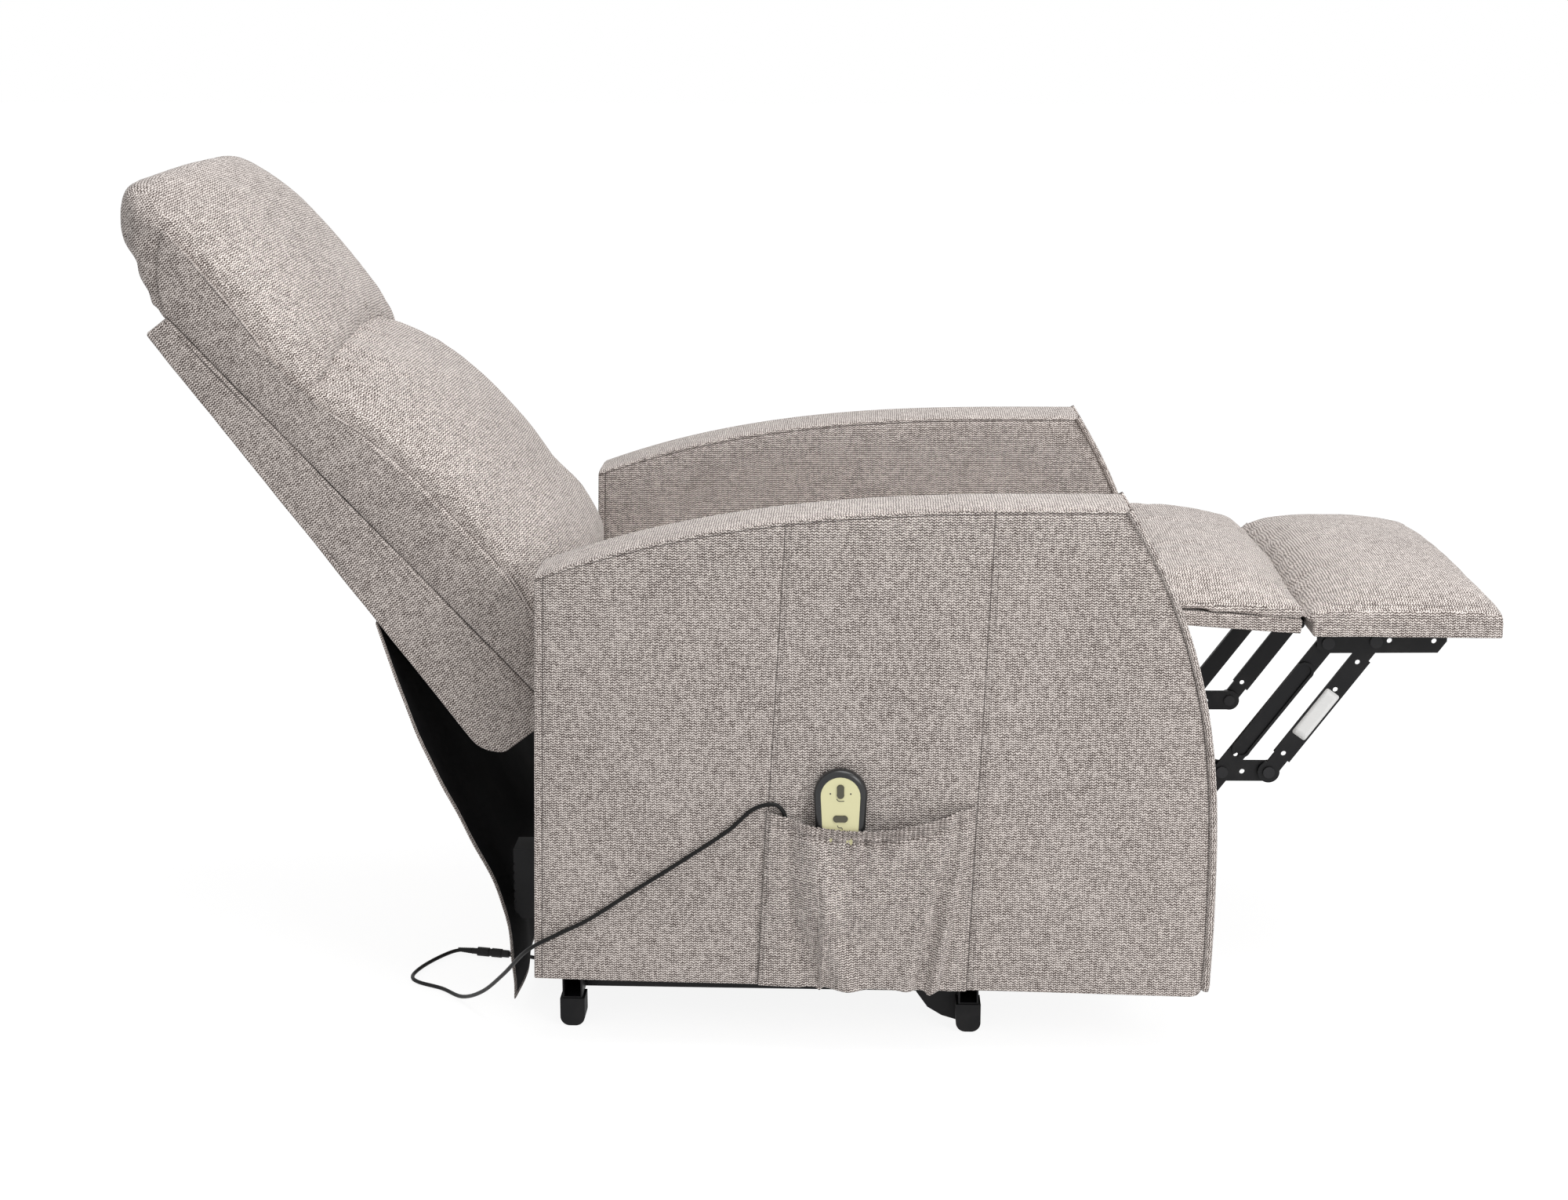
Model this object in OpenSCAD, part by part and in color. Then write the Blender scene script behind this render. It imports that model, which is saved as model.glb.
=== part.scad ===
// Lift recliner chair, shown reclined with its footrest out.
// Millimetres. +X points the way the sitter faces, +Y to the sitter's left, +Z up.
// The origin is on the floor under the middle of the reclined chair.

/* [Seat and arms] */
// Clear width between the two arms
seat_w = 540; // [430:1:680]
// Thickness of each arm
arm_t = 101; // [70:1:130]
// Place of the arms' rear edge along X
arm_rear_x = -341; // [-420:1:-300]
// Furthest forward point of the arms' curved front edge
arm_front_x = 480; // [440:1:600]
// Height of the arm tops at the front
arm_top_z = 684; // [560:1:800]
// How much lower the arm tops are at the rear
arm_drop = 87; // [0:1:150]
// Height of the arm bottoms above the floor at the rear
arm_bottom_rear_z = 92; // [88:1:120]
// Height of the arm bottoms above the floor at the front
arm_bottom_front_z = 81; // [60:1:110]
// Diameter of the piping cord on the arms' front edges
piping_d = 6.8; // [4:0.1:9]
// Height of the seat cushion's flat underside
seat_bottom_z = 427; // [420:1:450]
// Height of the seat cushion at its side seams
seat_edge_z = 519; // [490:1:550]
// Height of the seat cushion's crown
seat_crown_z = 585; // [520:1:620]

/* [Backrest] */
// Lean of the reclined backrest from the vertical, in degrees
back_lean = 37.2; // [30:0.1:50]
// Length of the backrest's outer cover along its lean
back_l = 680; // [570:1:850]
// Depth of the outer cover at its foot
back_band_foot = 106; // [80:1:130]
// Depth of the outer cover at its top
back_band_top = 35; // [30:1:60]
// Greatest depth of the lumbar cushion's crown, from the backrest's rear face
lumbar_depth = 252; // [200:1:290]
// Length of the head cushion that rises above the outer cover
head_rise = 157; // [120:1:200]
// Thickness of the timber in the backrest's frame
back_timber_t = 24; // [18:1:27]

/* [Footrest] */
// Length of the outer footrest pad
pad_l = 239; // [200:1:310]
// Height of the footrest pads' crown above their boards
pad_h = 82; // [60:1:110]
// Thickness of the upholstered footrest boards
board_t = 15; // [10:1:18]
// Length of the two long footrest links, between their pivots
link_l = 215.7; // [180:1:270]
// Width of the long footrest links
link_w = 24; // [18:1:28]
// Distance between the two link pivots on the footrest bracket
pivot_pitch = 60; // [50:1:80]

/* [Steelwork] */
// Thickness of the steel side plates
plate_t = 4; // [3:0.5:5]
// Distance between the inner faces of the two side plates
plate_gap = 360; // [300:1:380]
// Thickness of the footrest links
link_t = 4; // [3:0.5:5]
// Thickness of the lift arms
arm_plate_t = 6; // [4:0.5:7]
// Radius of the pivot pins
pin_r = 4; // [3:0.5:5]
// Height of the base's cross tubes
base_tube_h = 40; // [30:1:44]
// Width of the base's cross tubes
base_tube_w = 25; // [20:1:30]
// Height of the feet
foot_h = 36; // [30:1:40]
// Width over the ends of the base's cross tubes
base_w = 600; // [540:1:680]

/* [Handset and cords] */
// Width of the handset
handset_w = 64; // [50:1:75]
// Length of the handset
handset_l = 150; // [120:1:170]
// Thickness of the handset
handset_t = 16; // [14:1:22]
// Diameter of the handset's cord and of the other leads
cord_d = 5; // [4:0.5:6]

/* [Hidden] */

steel = [0.10, 0.10, 0.11];
cloth = [0.66, 0.62, 0.59];
timber = [0.76, 0.62, 0.42];
plastic = [0.06, 0.06, 0.07];
clear = 0.3;                  // gap between pieces that only meet
run = 0.08;                   // radial clearance of a pin in its hole
r_pin_hole = pin_r + run;

// ---- Heights and planes, the right side mirrors the left ----
arm_in = seat_w / 2;
arm_out = arm_in + arm_t;
rail_t = 18;
rail_out = arm_in - clear;
rail_in = rail_out - rail_t;
plate_in = plate_gap / 2;
plate_out = plate_in + plate_t;
flange_z = 312;               // top of the side plates' flanges, which carry the timber rails
rail_top_z = seat_bottom_z - clear;
arm_plane = plate_out + 4;    // inner face of the lift arms
pivot_plane = arm_plane + arm_plate_t + 4;
link_plane = pivot_plane + arm_plate_t + 4;
hanger_plane = link_plane + 5 + 3;
crank_plane = plate_in - 28;  // inner face of the footrest's crank links
long_plane = crank_plane + link_t + 1;
bracket_plane = long_plane + link_t + 1;

// ---- Pivots, as [x, z] at rest ----
lift_base = [170, 80];        // lift arm on the base
lift_chair = [-165, 105];     // lift arm on the chair
guide_base = [200, 86];       // lift link on the base
guide_chair = [-60, 110];     // lift link on the chair
lift_tube_at = [138, 42];
lift_eye_at = [150, 110];
lift_slip = [3, -3.5];         // slot in the crank that lets the actuator run straight
lift_motor_at = [-270, 100];
lift_y = -60;
back_pivot = [-323, 355];
back_tube_at = [-343, 280];
back_motor_at = [66, 280];
back_y = 60;
crank_pivot = [267.4, 350.9];
link_angle = 53.77;
foot_rear_pivot = [650, 470.5];
foot_front_pivot = foot_rear_pivot + [pivot_pitch, 2.5];
crank_rear = foot_rear_pivot - link_l * [cos(link_angle), sin(link_angle)];
crank_front = crank_rear + [pivot_pitch, 0.5];
crease = [604, 508];          // hinge between the two footrest boards
board_z = 505;                // underside of the outer footrest board
footrest_half = arm_in - 8;

// ---- Backrest frame: local x is its depth, local z runs along its lean ----
back_foot = [-408, 329];
back_half = arm_in - 10;

// ---- Small tools ----
module on_side(s) {
    if (s > 0) children();
    else mirror([0, 1, 0]) children();
}

module both_sides() {
    children();
    mirror([0, 1, 0]) children();
}

// A flat plate in the XZ plane, from y to y + t
module slab(y, t) {
    translate([0, y + t, 0]) rotate([90, 0, 0]) linear_extrude(t) children();
}

// A round bar along Y, from y to y + l, centred at [x, z]
module y_bar(at, r, y, l) {
    translate([at[0], y, at[1]]) rotate([-90, 0, 0]) cylinder(r = r, h = l, $fn = 48);
}

module y_tube(at, r, wall, y, l) {
    difference() {
        y_bar(at, r, y, l);
        y_bar(at, r - wall, y - 1, l + 2);
    }
}

module disc(at, r) {
    translate(at) circle(r = r, $fn = 48);
}

// A flat bar between two points, its round ends a little wider than its shank
module strip(a, b, w) {
    d = b - a;
    shank = w - 0.8;
    disc(a, w / 2);
    disc(b, w / 2);
    translate(a) rotate(atan2(d[1], d[0])) translate([0, -shank / 2]) square([norm(d), shank]);
}

// A pin with a flat head at each end, from y to y + l
module headed_pin(at, r, y, l, head = 3) {
    y_bar(at, r, y, l);
    y_bar(at, r + 4, y - head, head);
    y_bar(at, r + 4, y + l, head);
}

module in_back() {
    translate([back_foot[0], 0, back_foot[1]]) rotate([0, -back_lean, 0]) children();
}

// A closed solid through a list of rings, each with the same number of points.
// A sheet's rings run out along one face and back along the other, and its ends are closed in strips.
module loft(rings, sheet = false) {
    n = len(rings[0]);
    m = len(rings);
    points = [for (ring = rings) each ring];
    walls = [for (i = [0:m - 2], j = [0:n - 1], half = [0, 1])
        let (a = i * n + j, b = i * n + (j + 1) % n, c = a + n, d = b + n)
        half == 0 ? [a, c, b] : [b, c, d]];
    last = (m - 1) * n;
    ends = sheet
        ? [for (j = [0:n / 2 - 2], half = [0, 1]) each half == 0
            ? [[j, j + 1, n - 1 - j], [last + n - 1 - j, last + j + 1, last + j]]
            : [[j + 1, n - 2 - j, n - 1 - j], [last + n - 1 - j, last + n - 2 - j, last + j + 1]]]
        : [[for (j = [0:n - 1]) j], [for (j = [n - 1:-1:0]) last + j]];
    polyhedron(points = points, faces = concat(walls, ends), convexity = 6);
}

function heading(p, i) =
    let (d = p[min(i + 1, len(p) - 1)] - p[max(i - 1, 0)])
    d / norm(d);

// A direction carried on to where the tube's heading is t
function carried(u, t) =
    let (v = u - (u * t) * t)
    v / norm(v);

// A tube of radius r swept along a route, with a ring at every point
module sweep(route, r, sides = 8) {
    last = len(route) - 1;
    ups = [for (i = 0, u = carried([0, 1, 0], heading(route, 0)); i <= last;
        i = i + 1, u = carried(u, heading(route, i))) u];
    rings = [for (i = [0:last])
        let (s = cross(heading(route, i), ups[i]))
        [for (k = [0:sides - 1]) route[i] + r * (cos(360 * k / sides) * s + sin(360 * k / sides) * ups[i])]];
    loft(rings);
}

// Points of a smooth curve through chosen points
function between(p, i, f) =
    let (a = p[max(i - 1, 0)], b = p[i], c = p[i + 1], d = p[min(i + 2, len(p) - 1)])
    0.5 * (2 * b + (c - a) * f + (2 * a - 5 * b + 4 * c - d) * f * f + (3 * b - a - 3 * c + d) * f * f * f);
function smooth_route(p, steps) = concat(
    [for (i = [0:len(p) - 2], k = [0:steps - 1]) between(p, i, k / steps)],
    [p[len(p) - 1]]);

// ================= Base =================

module base_cross_rear() color(steel) {
    rear_tube_x = -316;
    difference() {
        translate([rear_tube_x, -base_w / 2, foot_h]) cube([base_tube_w, base_w, base_tube_h]);
        translate([rear_tube_x + 2, -base_w / 2 - 1, foot_h + 2])
            cube([base_tube_w - 4, base_w + 2, base_tube_h - 4]);
    }
    for (y = [lift_y - 25, lift_y + 20]) slab(y, 5) difference() {
        polygon([[rear_tube_x + base_tube_w, foot_h + 4], [lift_motor_at[0] + 8, foot_h + 30],
            [lift_motor_at[0] + 14, lift_motor_at[1] + 12], [rear_tube_x + base_tube_w + 4, lift_motor_at[1] + 12],
            [rear_tube_x + base_tube_w, foot_h + base_tube_h]]);
        disc(lift_motor_at, r_pin_hole);
    }
    headed_pin(lift_motor_at, pin_r, lift_y - 25.5, 51);
}

module base_cross_mid() color(steel) {
    length = 2 * (base_rail_y - base_rail_w / 2);
    difference() {
        translate([10, -length / 2, foot_h]) cube([base_rail_w, length, base_rail_w]);
        translate([12, -length / 2 - 1, foot_h + 2]) cube([base_rail_w - 4, length + 2, base_rail_w - 4]);
    }
}

base_rail_w = 25;
base_rail_y = 250;
outrigger_x = 182;

module base_rails() color(steel) {
    start = -316 + base_tube_w;
    both_sides() difference() {
        translate([start, base_rail_y - base_rail_w / 2, foot_h])
            cube([outrigger_x - start, base_rail_w, base_rail_w]);
        translate([start - 1, base_rail_y - base_rail_w / 2 + 2, foot_h + 2])
            cube([outrigger_x - start + 2, base_rail_w - 4, base_rail_w - 4]);
    }
}

module base_outriggers() color(steel) {
    start = pivot_plane + arm_plate_t;
    both_sides() {
        difference() {
            translate([outrigger_x, start, foot_h]) cube([base_tube_w, base_w / 2 - start, base_tube_h]);
            translate([outrigger_x + 2, start - 1, foot_h + 2])
                cube([base_tube_w - 4, base_w / 2 - start + 2, base_tube_h - 4]);
        }
        slab(base_w / 2 - 34, 4) polygon([[outrigger_x, foot_h + base_tube_h], [outrigger_x - 62, foot_h + base_tube_h],
            [outrigger_x - 60, foot_h + 22], [outrigger_x - 52, foot_h + 2], [outrigger_x - 38, 18],
            [outrigger_x - 20, 7], [outrigger_x, 1]]);
    }
}

module foot(x) {
    r = 12;
    translate([x, base_w / 2 - 28, 0]) difference() {
        slab(0, 30) union() {
            translate([0, r]) square([31, foot_h - r]);
            translate([r, 0]) square([31 - 2 * r, r + 1]);
            disc([r, r], r);
            disc([31 - r, r], r);
        }
        translate([15.5, 15, 6]) cylinder(r = 4, h = foot_h, $fn = 32);
    }
}

module base_feet() color(plastic) both_sides() {
    foot(-319);
    foot(outrigger_x - 3);
}

module base_pivot_plates() color(steel) both_sides() {
    slab(pivot_plane, arm_plate_t) difference() {
        union() {
            translate([outrigger_x - 34, foot_h]) square([60, 44]);
            disc(lift_base, 22);
            disc(guide_base, 20);
        }
        disc(lift_base, pin_r + 1 + run);
        disc(guide_base, r_pin_hole);
    }
    y_bar(lift_base, pin_r + 1, arm_plane, pivot_plane + arm_plate_t - arm_plane);
    y_bar(guide_base, pin_r, pivot_plane, link_plane + 5 - pivot_plane);
    y_bar(lift_base, pin_r + 5, pivot_plane + arm_plate_t, 3);
    y_bar(guide_base, pin_r + 4, link_plane + 5 + clear, 3);
}

// ================= Lift linkage =================

module lift_arm(s) color(steel) on_side(s) slab(arm_plane, arm_plate_t) difference() {
    union() {
        strip(lift_base, lift_chair, 30);
        disc(lift_base, 18);
        disc(lift_chair, 18);
        strip(lift_tube_at, lift_base, 34);
    }
    disc(lift_base, pin_r + 1 + run);
    disc(lift_chair, pin_r + 1 + run);
}

module lift_tube() color(steel) {
    y_tube(lift_tube_at, 12, 2.5, -arm_plane + clear, 2 * (arm_plane - clear));
    for (y = [lift_y - 18, lift_y + 13]) slab(y, 5) difference() {
        strip(lift_tube_at, lift_eye_at, 32);
        disc(lift_tube_at, 11.5);
        strip(lift_eye_at - 0.2 * lift_slip, lift_eye_at + 1.2 * lift_slip, 2 * pin_r + 3.6);
    }
}

module lift_links() color(steel) both_sides() slab(link_plane, 5) difference() {
    strip(guide_base, guide_chair, 18);
    disc(guide_base, r_pin_hole);
    disc(guide_chair, pin_r + 1.9);
}

// An actuator along local X: motor housing from the lug at the origin, towards +x
module actuator_body(length, lug_r, lug_w, motor_side) {
    translate([-lug_r, -lug_w / 2, -12]) difference() {
        cube([lug_r + 34, lug_w, 24]);
        translate([lug_r, -1, 12]) rotate([-90, 0, 0]) cylinder(r = lug_r - 6, h = lug_w + 2, $fn = 48);
    }
    difference() {
        translate([lug_r + 6, -24, -24]) cube([62, 48, 48]);
        translate([lug_r + 40, 0, 0]) rotate([0, 90, 0]) cylinder(r = 10 + run, h = 40, $fn = 48);
    }
    translate([lug_r + 20, 0, motor_side * 44]) rotate([0, 90, 0]) cylinder(r = 24, h = 104, $fn = 48);
    translate([lug_r + 6, -20, motor_side > 0 ? 20 : -48]) cube([34, 40, 28]);
    translate([lug_r + 68, 0, 0]) rotate([0, 90, 0]) difference() {
        cylinder(r = 17, h = length - lug_r - 68, $fn = 48);
        translate([0, 0, -1]) cylinder(r = 10 + run, h = length, $fn = 48);
    }
}

function lean_of(a, b) = atan2(b[1] - a[1], b[0] - a[0]);
lift_reach = norm(lift_eye_at - lift_motor_at);
back_reach = norm(back_tube_at - back_motor_at);

module lift_motor() color(plastic)
    translate([lift_motor_at[0], lift_y, lift_motor_at[1]])
        rotate([0, -lean_of(lift_motor_at, lift_eye_at), 0])
            actuator_body(lift_reach - 54, pin_r + run + 6, 30, 1);

module lift_rod() color("silver")
    translate([lift_motor_at[0], lift_y, lift_motor_at[1]])
        rotate([0, -lean_of(lift_motor_at, lift_eye_at), 0]) {
            translate([70, 0, 0]) rotate([0, 90, 0]) cylinder(r = 10, h = lift_reach - 80, $fn = 48);
            translate([lift_reach, 0, 0]) rotate([90, 0, 0]) difference() {
                union() {
                    cylinder(r = 13, h = 22, center = true, $fn = 48);
                    translate([-16, 0, 0]) cube([22, 22, 22], center = true);
                }
                cylinder(r = r_pin_hole, h = 30, center = true, $fn = 48);
            }
            translate([lift_reach, -22, 0]) rotate([-90, 0, 0]) cylinder(r = pin_r, h = 44, $fn = 48);
        }

module back_motor() color(plastic)
    translate([back_motor_at[0], back_y, back_motor_at[1]])
        rotate([0, -lean_of(back_motor_at, back_tube_at), 0])
            actuator_body(back_reach - 40, 12 + run + 6, 34, 1);

module back_rod() color("silver")
    translate([back_motor_at[0], back_y, back_motor_at[1]])
        rotate([0, -lean_of(back_motor_at, back_tube_at), 0]) {
            translate([90, 0, 0]) rotate([0, 90, 0]) cylinder(r = 10, h = back_reach - 107, $fn = 48);
            translate([back_reach, 0, 0]) rotate([90, 0, 0]) difference() {
                cylinder(r = 19, h = 24, center = true, $fn = 48);
                cylinder(r = 11 + 1.9, h = 30, center = true, $fn = 48);
            }
        }

// ================= Chair frame =================

module side_plate(s) color(steel) on_side(s) {
    slab(plate_in, plate_t) difference() {
        polygon([[-347, 330], [-338, 368], [-316, 378], [-280, 384], [200, 394], [248, 402], [290, 400], [298, 340],
            [244, 300], [140, 215], [20, 150], [-40, 120], [-140, 88], [-190, 88], [-230, 150], [-313, 300]]);
        for (at = [back_pivot, crank_pivot, lift_chair]) disc(at, pin_r + 1 + run);
        disc(back_motor_at, 12 + run);
        strip([-240, 250], [-120, 180], 44);
        disc([-20, 210], 22);
    }
    translate([-330, plate_out, flange_z - plate_t]) cube([560, rail_out - plate_out, plate_t]);
}

module side_hangers() color(steel) both_sides() difference() {
    slab(hanger_plane, plate_t) difference() {
        polygon([[-110, flange_z - plate_t], [0, flange_z - plate_t], [-42, 98], [-78, 98]]);
        disc(guide_chair, r_pin_hole);
    }
}

module seat_cross_tubes() color(steel) {
    difference() {
        translate([300, -plate_in, 380]) cube([20, plate_gap, 20]);
        translate([302, -plate_in - 1, 382]) cube([16, plate_gap + 2, 16]);
    }
    for (s = [1, -1]) on_side(s) translate([286, plate_in - 3, 384]) cube([14, 3, 12]);
    difference() {
        translate([-296, -plate_in, 340]) cube([20, plate_gap, 20]);
        translate([-294, -plate_in - 1, 342]) cube([16, plate_gap + 2, 16]);
    }
    y_tube(back_motor_at, 12, 2.5, -plate_out, 2 * plate_out);
}

module chair_pins() color("silver") both_sides() {
    y_bar(back_pivot, pin_r + 1, plate_in - 9, 9 + plate_t);
    y_bar(back_pivot, pin_r + 5, plate_in - 12, 3 - clear);
    y_bar(lift_chair, pin_r + 1, plate_in, arm_plane + arm_plate_t - plate_in);
    y_bar(lift_chair, pin_r + 5, arm_plane + arm_plate_t + clear, 3);
    y_bar(lift_chair, pin_r + 5, plate_in - 3, 3);
    y_bar(guide_chair, pin_r, link_plane, hanger_plane + plate_t - link_plane);
    y_bar(guide_chair, pin_r + 4, hanger_plane + plate_t, 3);
    y_bar(guide_chair, pin_r + 4, link_plane - clear - 2.5, 2.5 + clear);
    y_bar(crank_pivot, pin_r + 1, crank_plane, plate_out - crank_plane);
    y_bar(crank_pivot, pin_r + 5, plate_out, 3);
}

module seat_rail(s) color(timber) on_side(s) slab(rail_in, rail_t) difference() {
    polygon([[-326, flange_z], [-326, 366], [-166, 366], [-166, rail_top_z], [352, rail_top_z], [352, 350],
        [330, flange_z]]);
    for (x = [-260, 40, 280]) disc([x, flange_z + 28], 5);
}

module seat_end_rails() color(timber) {
    for (x = [-165, 322]) translate([x, -rail_in + clear, 396])
        cube([18, 2 * (rail_in - clear), rail_top_z - 396]);
}

// Each seat spring is one flat wave from the rear rail to the front rail
module seat_springs() color("dimgray") {
    start = -147;
    span = 322 - start;
    waves = 9;
    wave = 22;
    wire = 3.6;
    points = [for (i = [0:waves * 8]) [start + span * i / (waves * 8), wave * sin(360 * i / 8)]];
    n = len(points);
    normals = [for (i = [0:n - 1])
        let (d = points[min(i + 1, n - 1)] - points[max(i - 1, 0)]) [-d[1], d[0]] / norm(d)];
    outline = concat(
        [for (i = [0:n - 1]) points[i] + normals[i] * wire / 2],
        [for (i = [n - 1:-1:0]) points[i] - normals[i] * wire / 2]);
    for (y = [-190:95:190]) translate([0, y, rail_top_z - 14]) linear_extrude(wire)
        intersection() {
            polygon(outline);
            translate([start, -40]) square([span, 80]);
        }
}

// ================= Upholstery of the seat and arms =================

// Height of an arm's top edge at x, and its front edge's x at height z
arm_brow_x = arm_front_x - 112;      // where the long top curve meets the front curve
arm_belly_z = 230;                   // height of the furthest forward point
arm_rear_lean = 10;                  // how far the rear edge leans forward at its top
arm_rear_top_x = arm_rear_x + arm_rear_lean;
function arm_top(x) = arm_top_z - arm_drop * pow(max(arm_brow_x - x, 0) / (arm_brow_x - arm_rear_top_x), 2.98);
function arm_front(z) = z > arm_belly_z
    ? arm_front_x - (arm_front_x - arm_brow_x) * pow((z - arm_belly_z) / (arm_top_z - arm_belly_z), 2.58)
    : arm_front_x - 4 * pow((arm_belly_z - z) / (arm_belly_z - arm_bottom_front_z), 2);

// Outline of an arm as [x, z] points, moved inwards by d
function arm_outline(d) =
    let (
        zb = arm_bottom_front_z,
        zr = arm_bottom_rear_z,
        r = 20,
        top = [for (i = [0:15]) let (x = arm_rear_top_x + (arm_brow_x - arm_rear_top_x) * i / 16)
            [i == 0 ? x + d : x, arm_top(x) - d]],
        front = [for (i = [0:17]) let (z = arm_top_z + (zb + r - arm_top_z) * i / 17)
            [arm_front(z) - d, i == 0 ? z - d : z]],
        corner = [for (a = [15:25:90]) [arm_front(zb + r) - r + (r - d) * cos(a), zb + r - (r - d) * sin(a)]],
        heel = [[arm_rear_x + d, zr + d]])
    concat(top, front, corner, heel);

// Rounded edges: distance in from each face, and how far the outline draws in there
arm_edge = [[0, 5], [4, 1.5], [10, 0]];
module arm(s) color(cloth) on_side(s) {
    stations = concat(
        [for (e = arm_edge) [arm_in + e[0], e[1]]],
        [for (i = [2:-1:0]) [arm_out - arm_edge[i][0], arm_edge[i][1]]]);
    loft([for (st = stations) [for (p = arm_outline(st[1])) [p[0], st[0], p[1]]]]);
}

// Piping cords in the front edges of one arm, from the brow down to the foot
module piping(s) color(cloth * 0.9) on_side(s) for (face = [arm_in + 0.4, arm_out - 0.4]) {
    low = arm_bottom_front_z + 24;
    sweep([for (i = [0:20]) let (z = arm_top_z - 1 + (low - arm_top_z) * i / 20)
        [arm_front(z) + 0.3, face, z]], piping_d / 2);
}

// Across a cushion: 1 in the middle, falling to 0 at the side seams
function crown(f, sharp = 3) = sqrt(max(1 - pow(abs(f), sharp), 0));
cushion_stations = [-1, -0.97, -0.9, -0.78, -0.6, -0.35, 0, 0.35, 0.6, 0.78, 0.9, 0.97, 1];

// Side profile of a cushion as [x, z]: flat underside, drawn-in ends and a crowned top
function cushion_profile(x0, x1, z0, z1, rise, n) = concat(
    [[x0 + 8, z0], [x1 - 8, z0]],
    [[x1 - 1, z0 + (z1 - z0) * 0.35], [x1, z0 + (z1 - z0) * 0.75]],
    [for (i = [0:n]) let (u = 1 - i / n, f = 2 * u - 1)
        [(x0 + x1) / 2 + f * (x1 - x0) / 2 * (1 - 0.02 * (1 - crown(f, 6))), z1 + rise * crown(f, 4)]],
    [[x0, z0 + (z1 - z0) * 0.75], [x0 + 1, z0 + (z1 - z0) * 0.35]]);

module pad_solid(half, x0, x1, z0, z1, rise, n = 18) {
    loft([for (f = cushion_stations)
        [for (p = cushion_profile(x0, x1, z0, z1, rise * (0.12 + 0.88 * crown(f)), n))
            [p[0], f * (half - (p[1] - z0 < (z1 - z0) * 0.5 ? 2 : 0)), p[1]]]]);
}

module seat_cushion() color(cloth)
    pad_solid(arm_in - 3, -165, 386, seat_bottom_z, seat_edge_z, seat_crown_z - seat_edge_z, 22);

// ================= Pocket and handset =================

pocket_rear = [-55, -66];      // x of the pocket's rear seam at its hem and at its foot
pocket_front = [197, 188];     // x of its front seam
pocket_foot_z = 91;
hem_end_z = 319;
hem_dip = 32;
pocket_cloth = 2.2;
handset_x = 34;
handset_top_z = 369;

// Stand-off of the pocket from the arm: u runs along the hem, v up from the foot
function pocket_bulge(u, v) =
    let (
        side = pow(sin(180 * u), 0.5),
        x = pocket_x(u, v),
        grip = exp(-pow(abs(x - handset_x) / (handset_w * 0.97), 8)),
        thick = handset_t + 2.2,
        fold = 3 * exp(-pow((x - handset_x - 5 + 10 * v) / 9, 2)) + 3 * exp(-pow((x - 135 - 30 * v) / 9, 2)))
    clear + side * (3 + 12 * pow(v, 0.7)) + grip * max(0, thick - side * (3 + 12 * pow(v, 0.7)))
        * min(1, v * 2.6) + side * fold * (1 - v) * v * 2.4;
function pocket_x(u, v) =
    let (a = pocket_rear[1] + (pocket_rear[0] - pocket_rear[1]) * v,
        b = pocket_front[1] + (pocket_front[0] - pocket_front[1]) * v)
    a + (b - a) * u;
function pocket_z(u, v) = pocket_foot_z + v * (hem_end_z - hem_dip * sin(180 * u) - pocket_foot_z);

module pocket() color(cloth) {
    nu = 22;
    nv = 9;
    rings = [for (j = [0:nv]) let (v = j / nv) concat(
        [for (i = [0:nu]) let (u = i / nu)
            [pocket_x(u, v), -arm_out - pocket_bulge(u, v) - pocket_cloth, pocket_z(u, v)]],
        [for (i = [nu:-1:0]) let (u = i / nu)
            [pocket_x(u, v), -arm_out - pocket_bulge(u, v), pocket_z(u, v)]])];
    loft(rings, sheet = true);
}

// Handset outline, moved inwards by d: a round head that tapers to a narrower foot
handset_foot_r = 16;
handset_taper = 5;
function arc(centre, r, from, to, n) = [for (i = [0:n])
    let (a = from + (to - from) * i / n) centre + r * [cos(a), sin(a)]];
function handset_ring(d) =
    let (
        r = handset_w / 2,
        foot_x = r - handset_foot_r - handset_taper,
        foot_y = -handset_l + handset_foot_r,
        tip = 2.8)
    concat(
        arc([0, -r], r - d, -tip, 180 + tip, 16),
        arc([-foot_x, foot_y], handset_foot_r - d, 180 + tip, 270, 5),
        arc([foot_x, foot_y], handset_foot_r - d, 270, 360 - tip, 5));

// Stands upright against the arm, its face outwards
module at_handset() translate([handset_x, -arm_out - clear, handset_top_z]) rotate([90, 0, 0]) children();

button_slots = [[0, -26, 90], [0, -60, 0]];   // place on the face, and turn of the long way
module button_outline(k, gap) {
    b = button_slots[k];
    translate([b[0], b[1]]) rotate(b[2]) for (s = [-1, 1]) translate([s * 4.5, 0]) circle(r = 4 + gap, $fn = 32);
    translate([b[0], b[1]]) rotate(b[2]) square([9, 2 * (4 + gap) - 0.4], center = true);
}

module handset_shell() color(plastic) at_handset() difference() {
    // The back is softly rounded and the front rolls in to the face's recess
    loft([for (level = [[0, 4], [1.5, 1.2], [4, 0], [handset_t - 6, 0], [handset_t - 3, 1], [handset_t - 1, 3.5],
            [handset_t, 6.5]])
        [for (q = handset_ring(level[1])) [q[0], q[1], level[0]]]]);
    translate([0, 0, handset_t - 2]) linear_extrude(5) polygon(handset_ring(8));
    for (k = [0, 1]) translate([0, 0, handset_t - 8]) linear_extrude(10) button_outline(k, 0.4);
}

module handset_face() color([0.86, 0.84, 0.62]) at_handset()
    translate([0, 0, handset_t - 2 + clear]) linear_extrude(1.5) difference() {
        polygon(handset_ring(8.3));
        for (k = [0, 1]) button_outline(k, 0.4);
    }

module button(k) color([0.25, 0.24, 0.2]) at_handset()
    translate([0, 0, handset_t - 6]) linear_extrude(7.4) button_outline(k, 0);

// ================= Control box and flap =================

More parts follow.
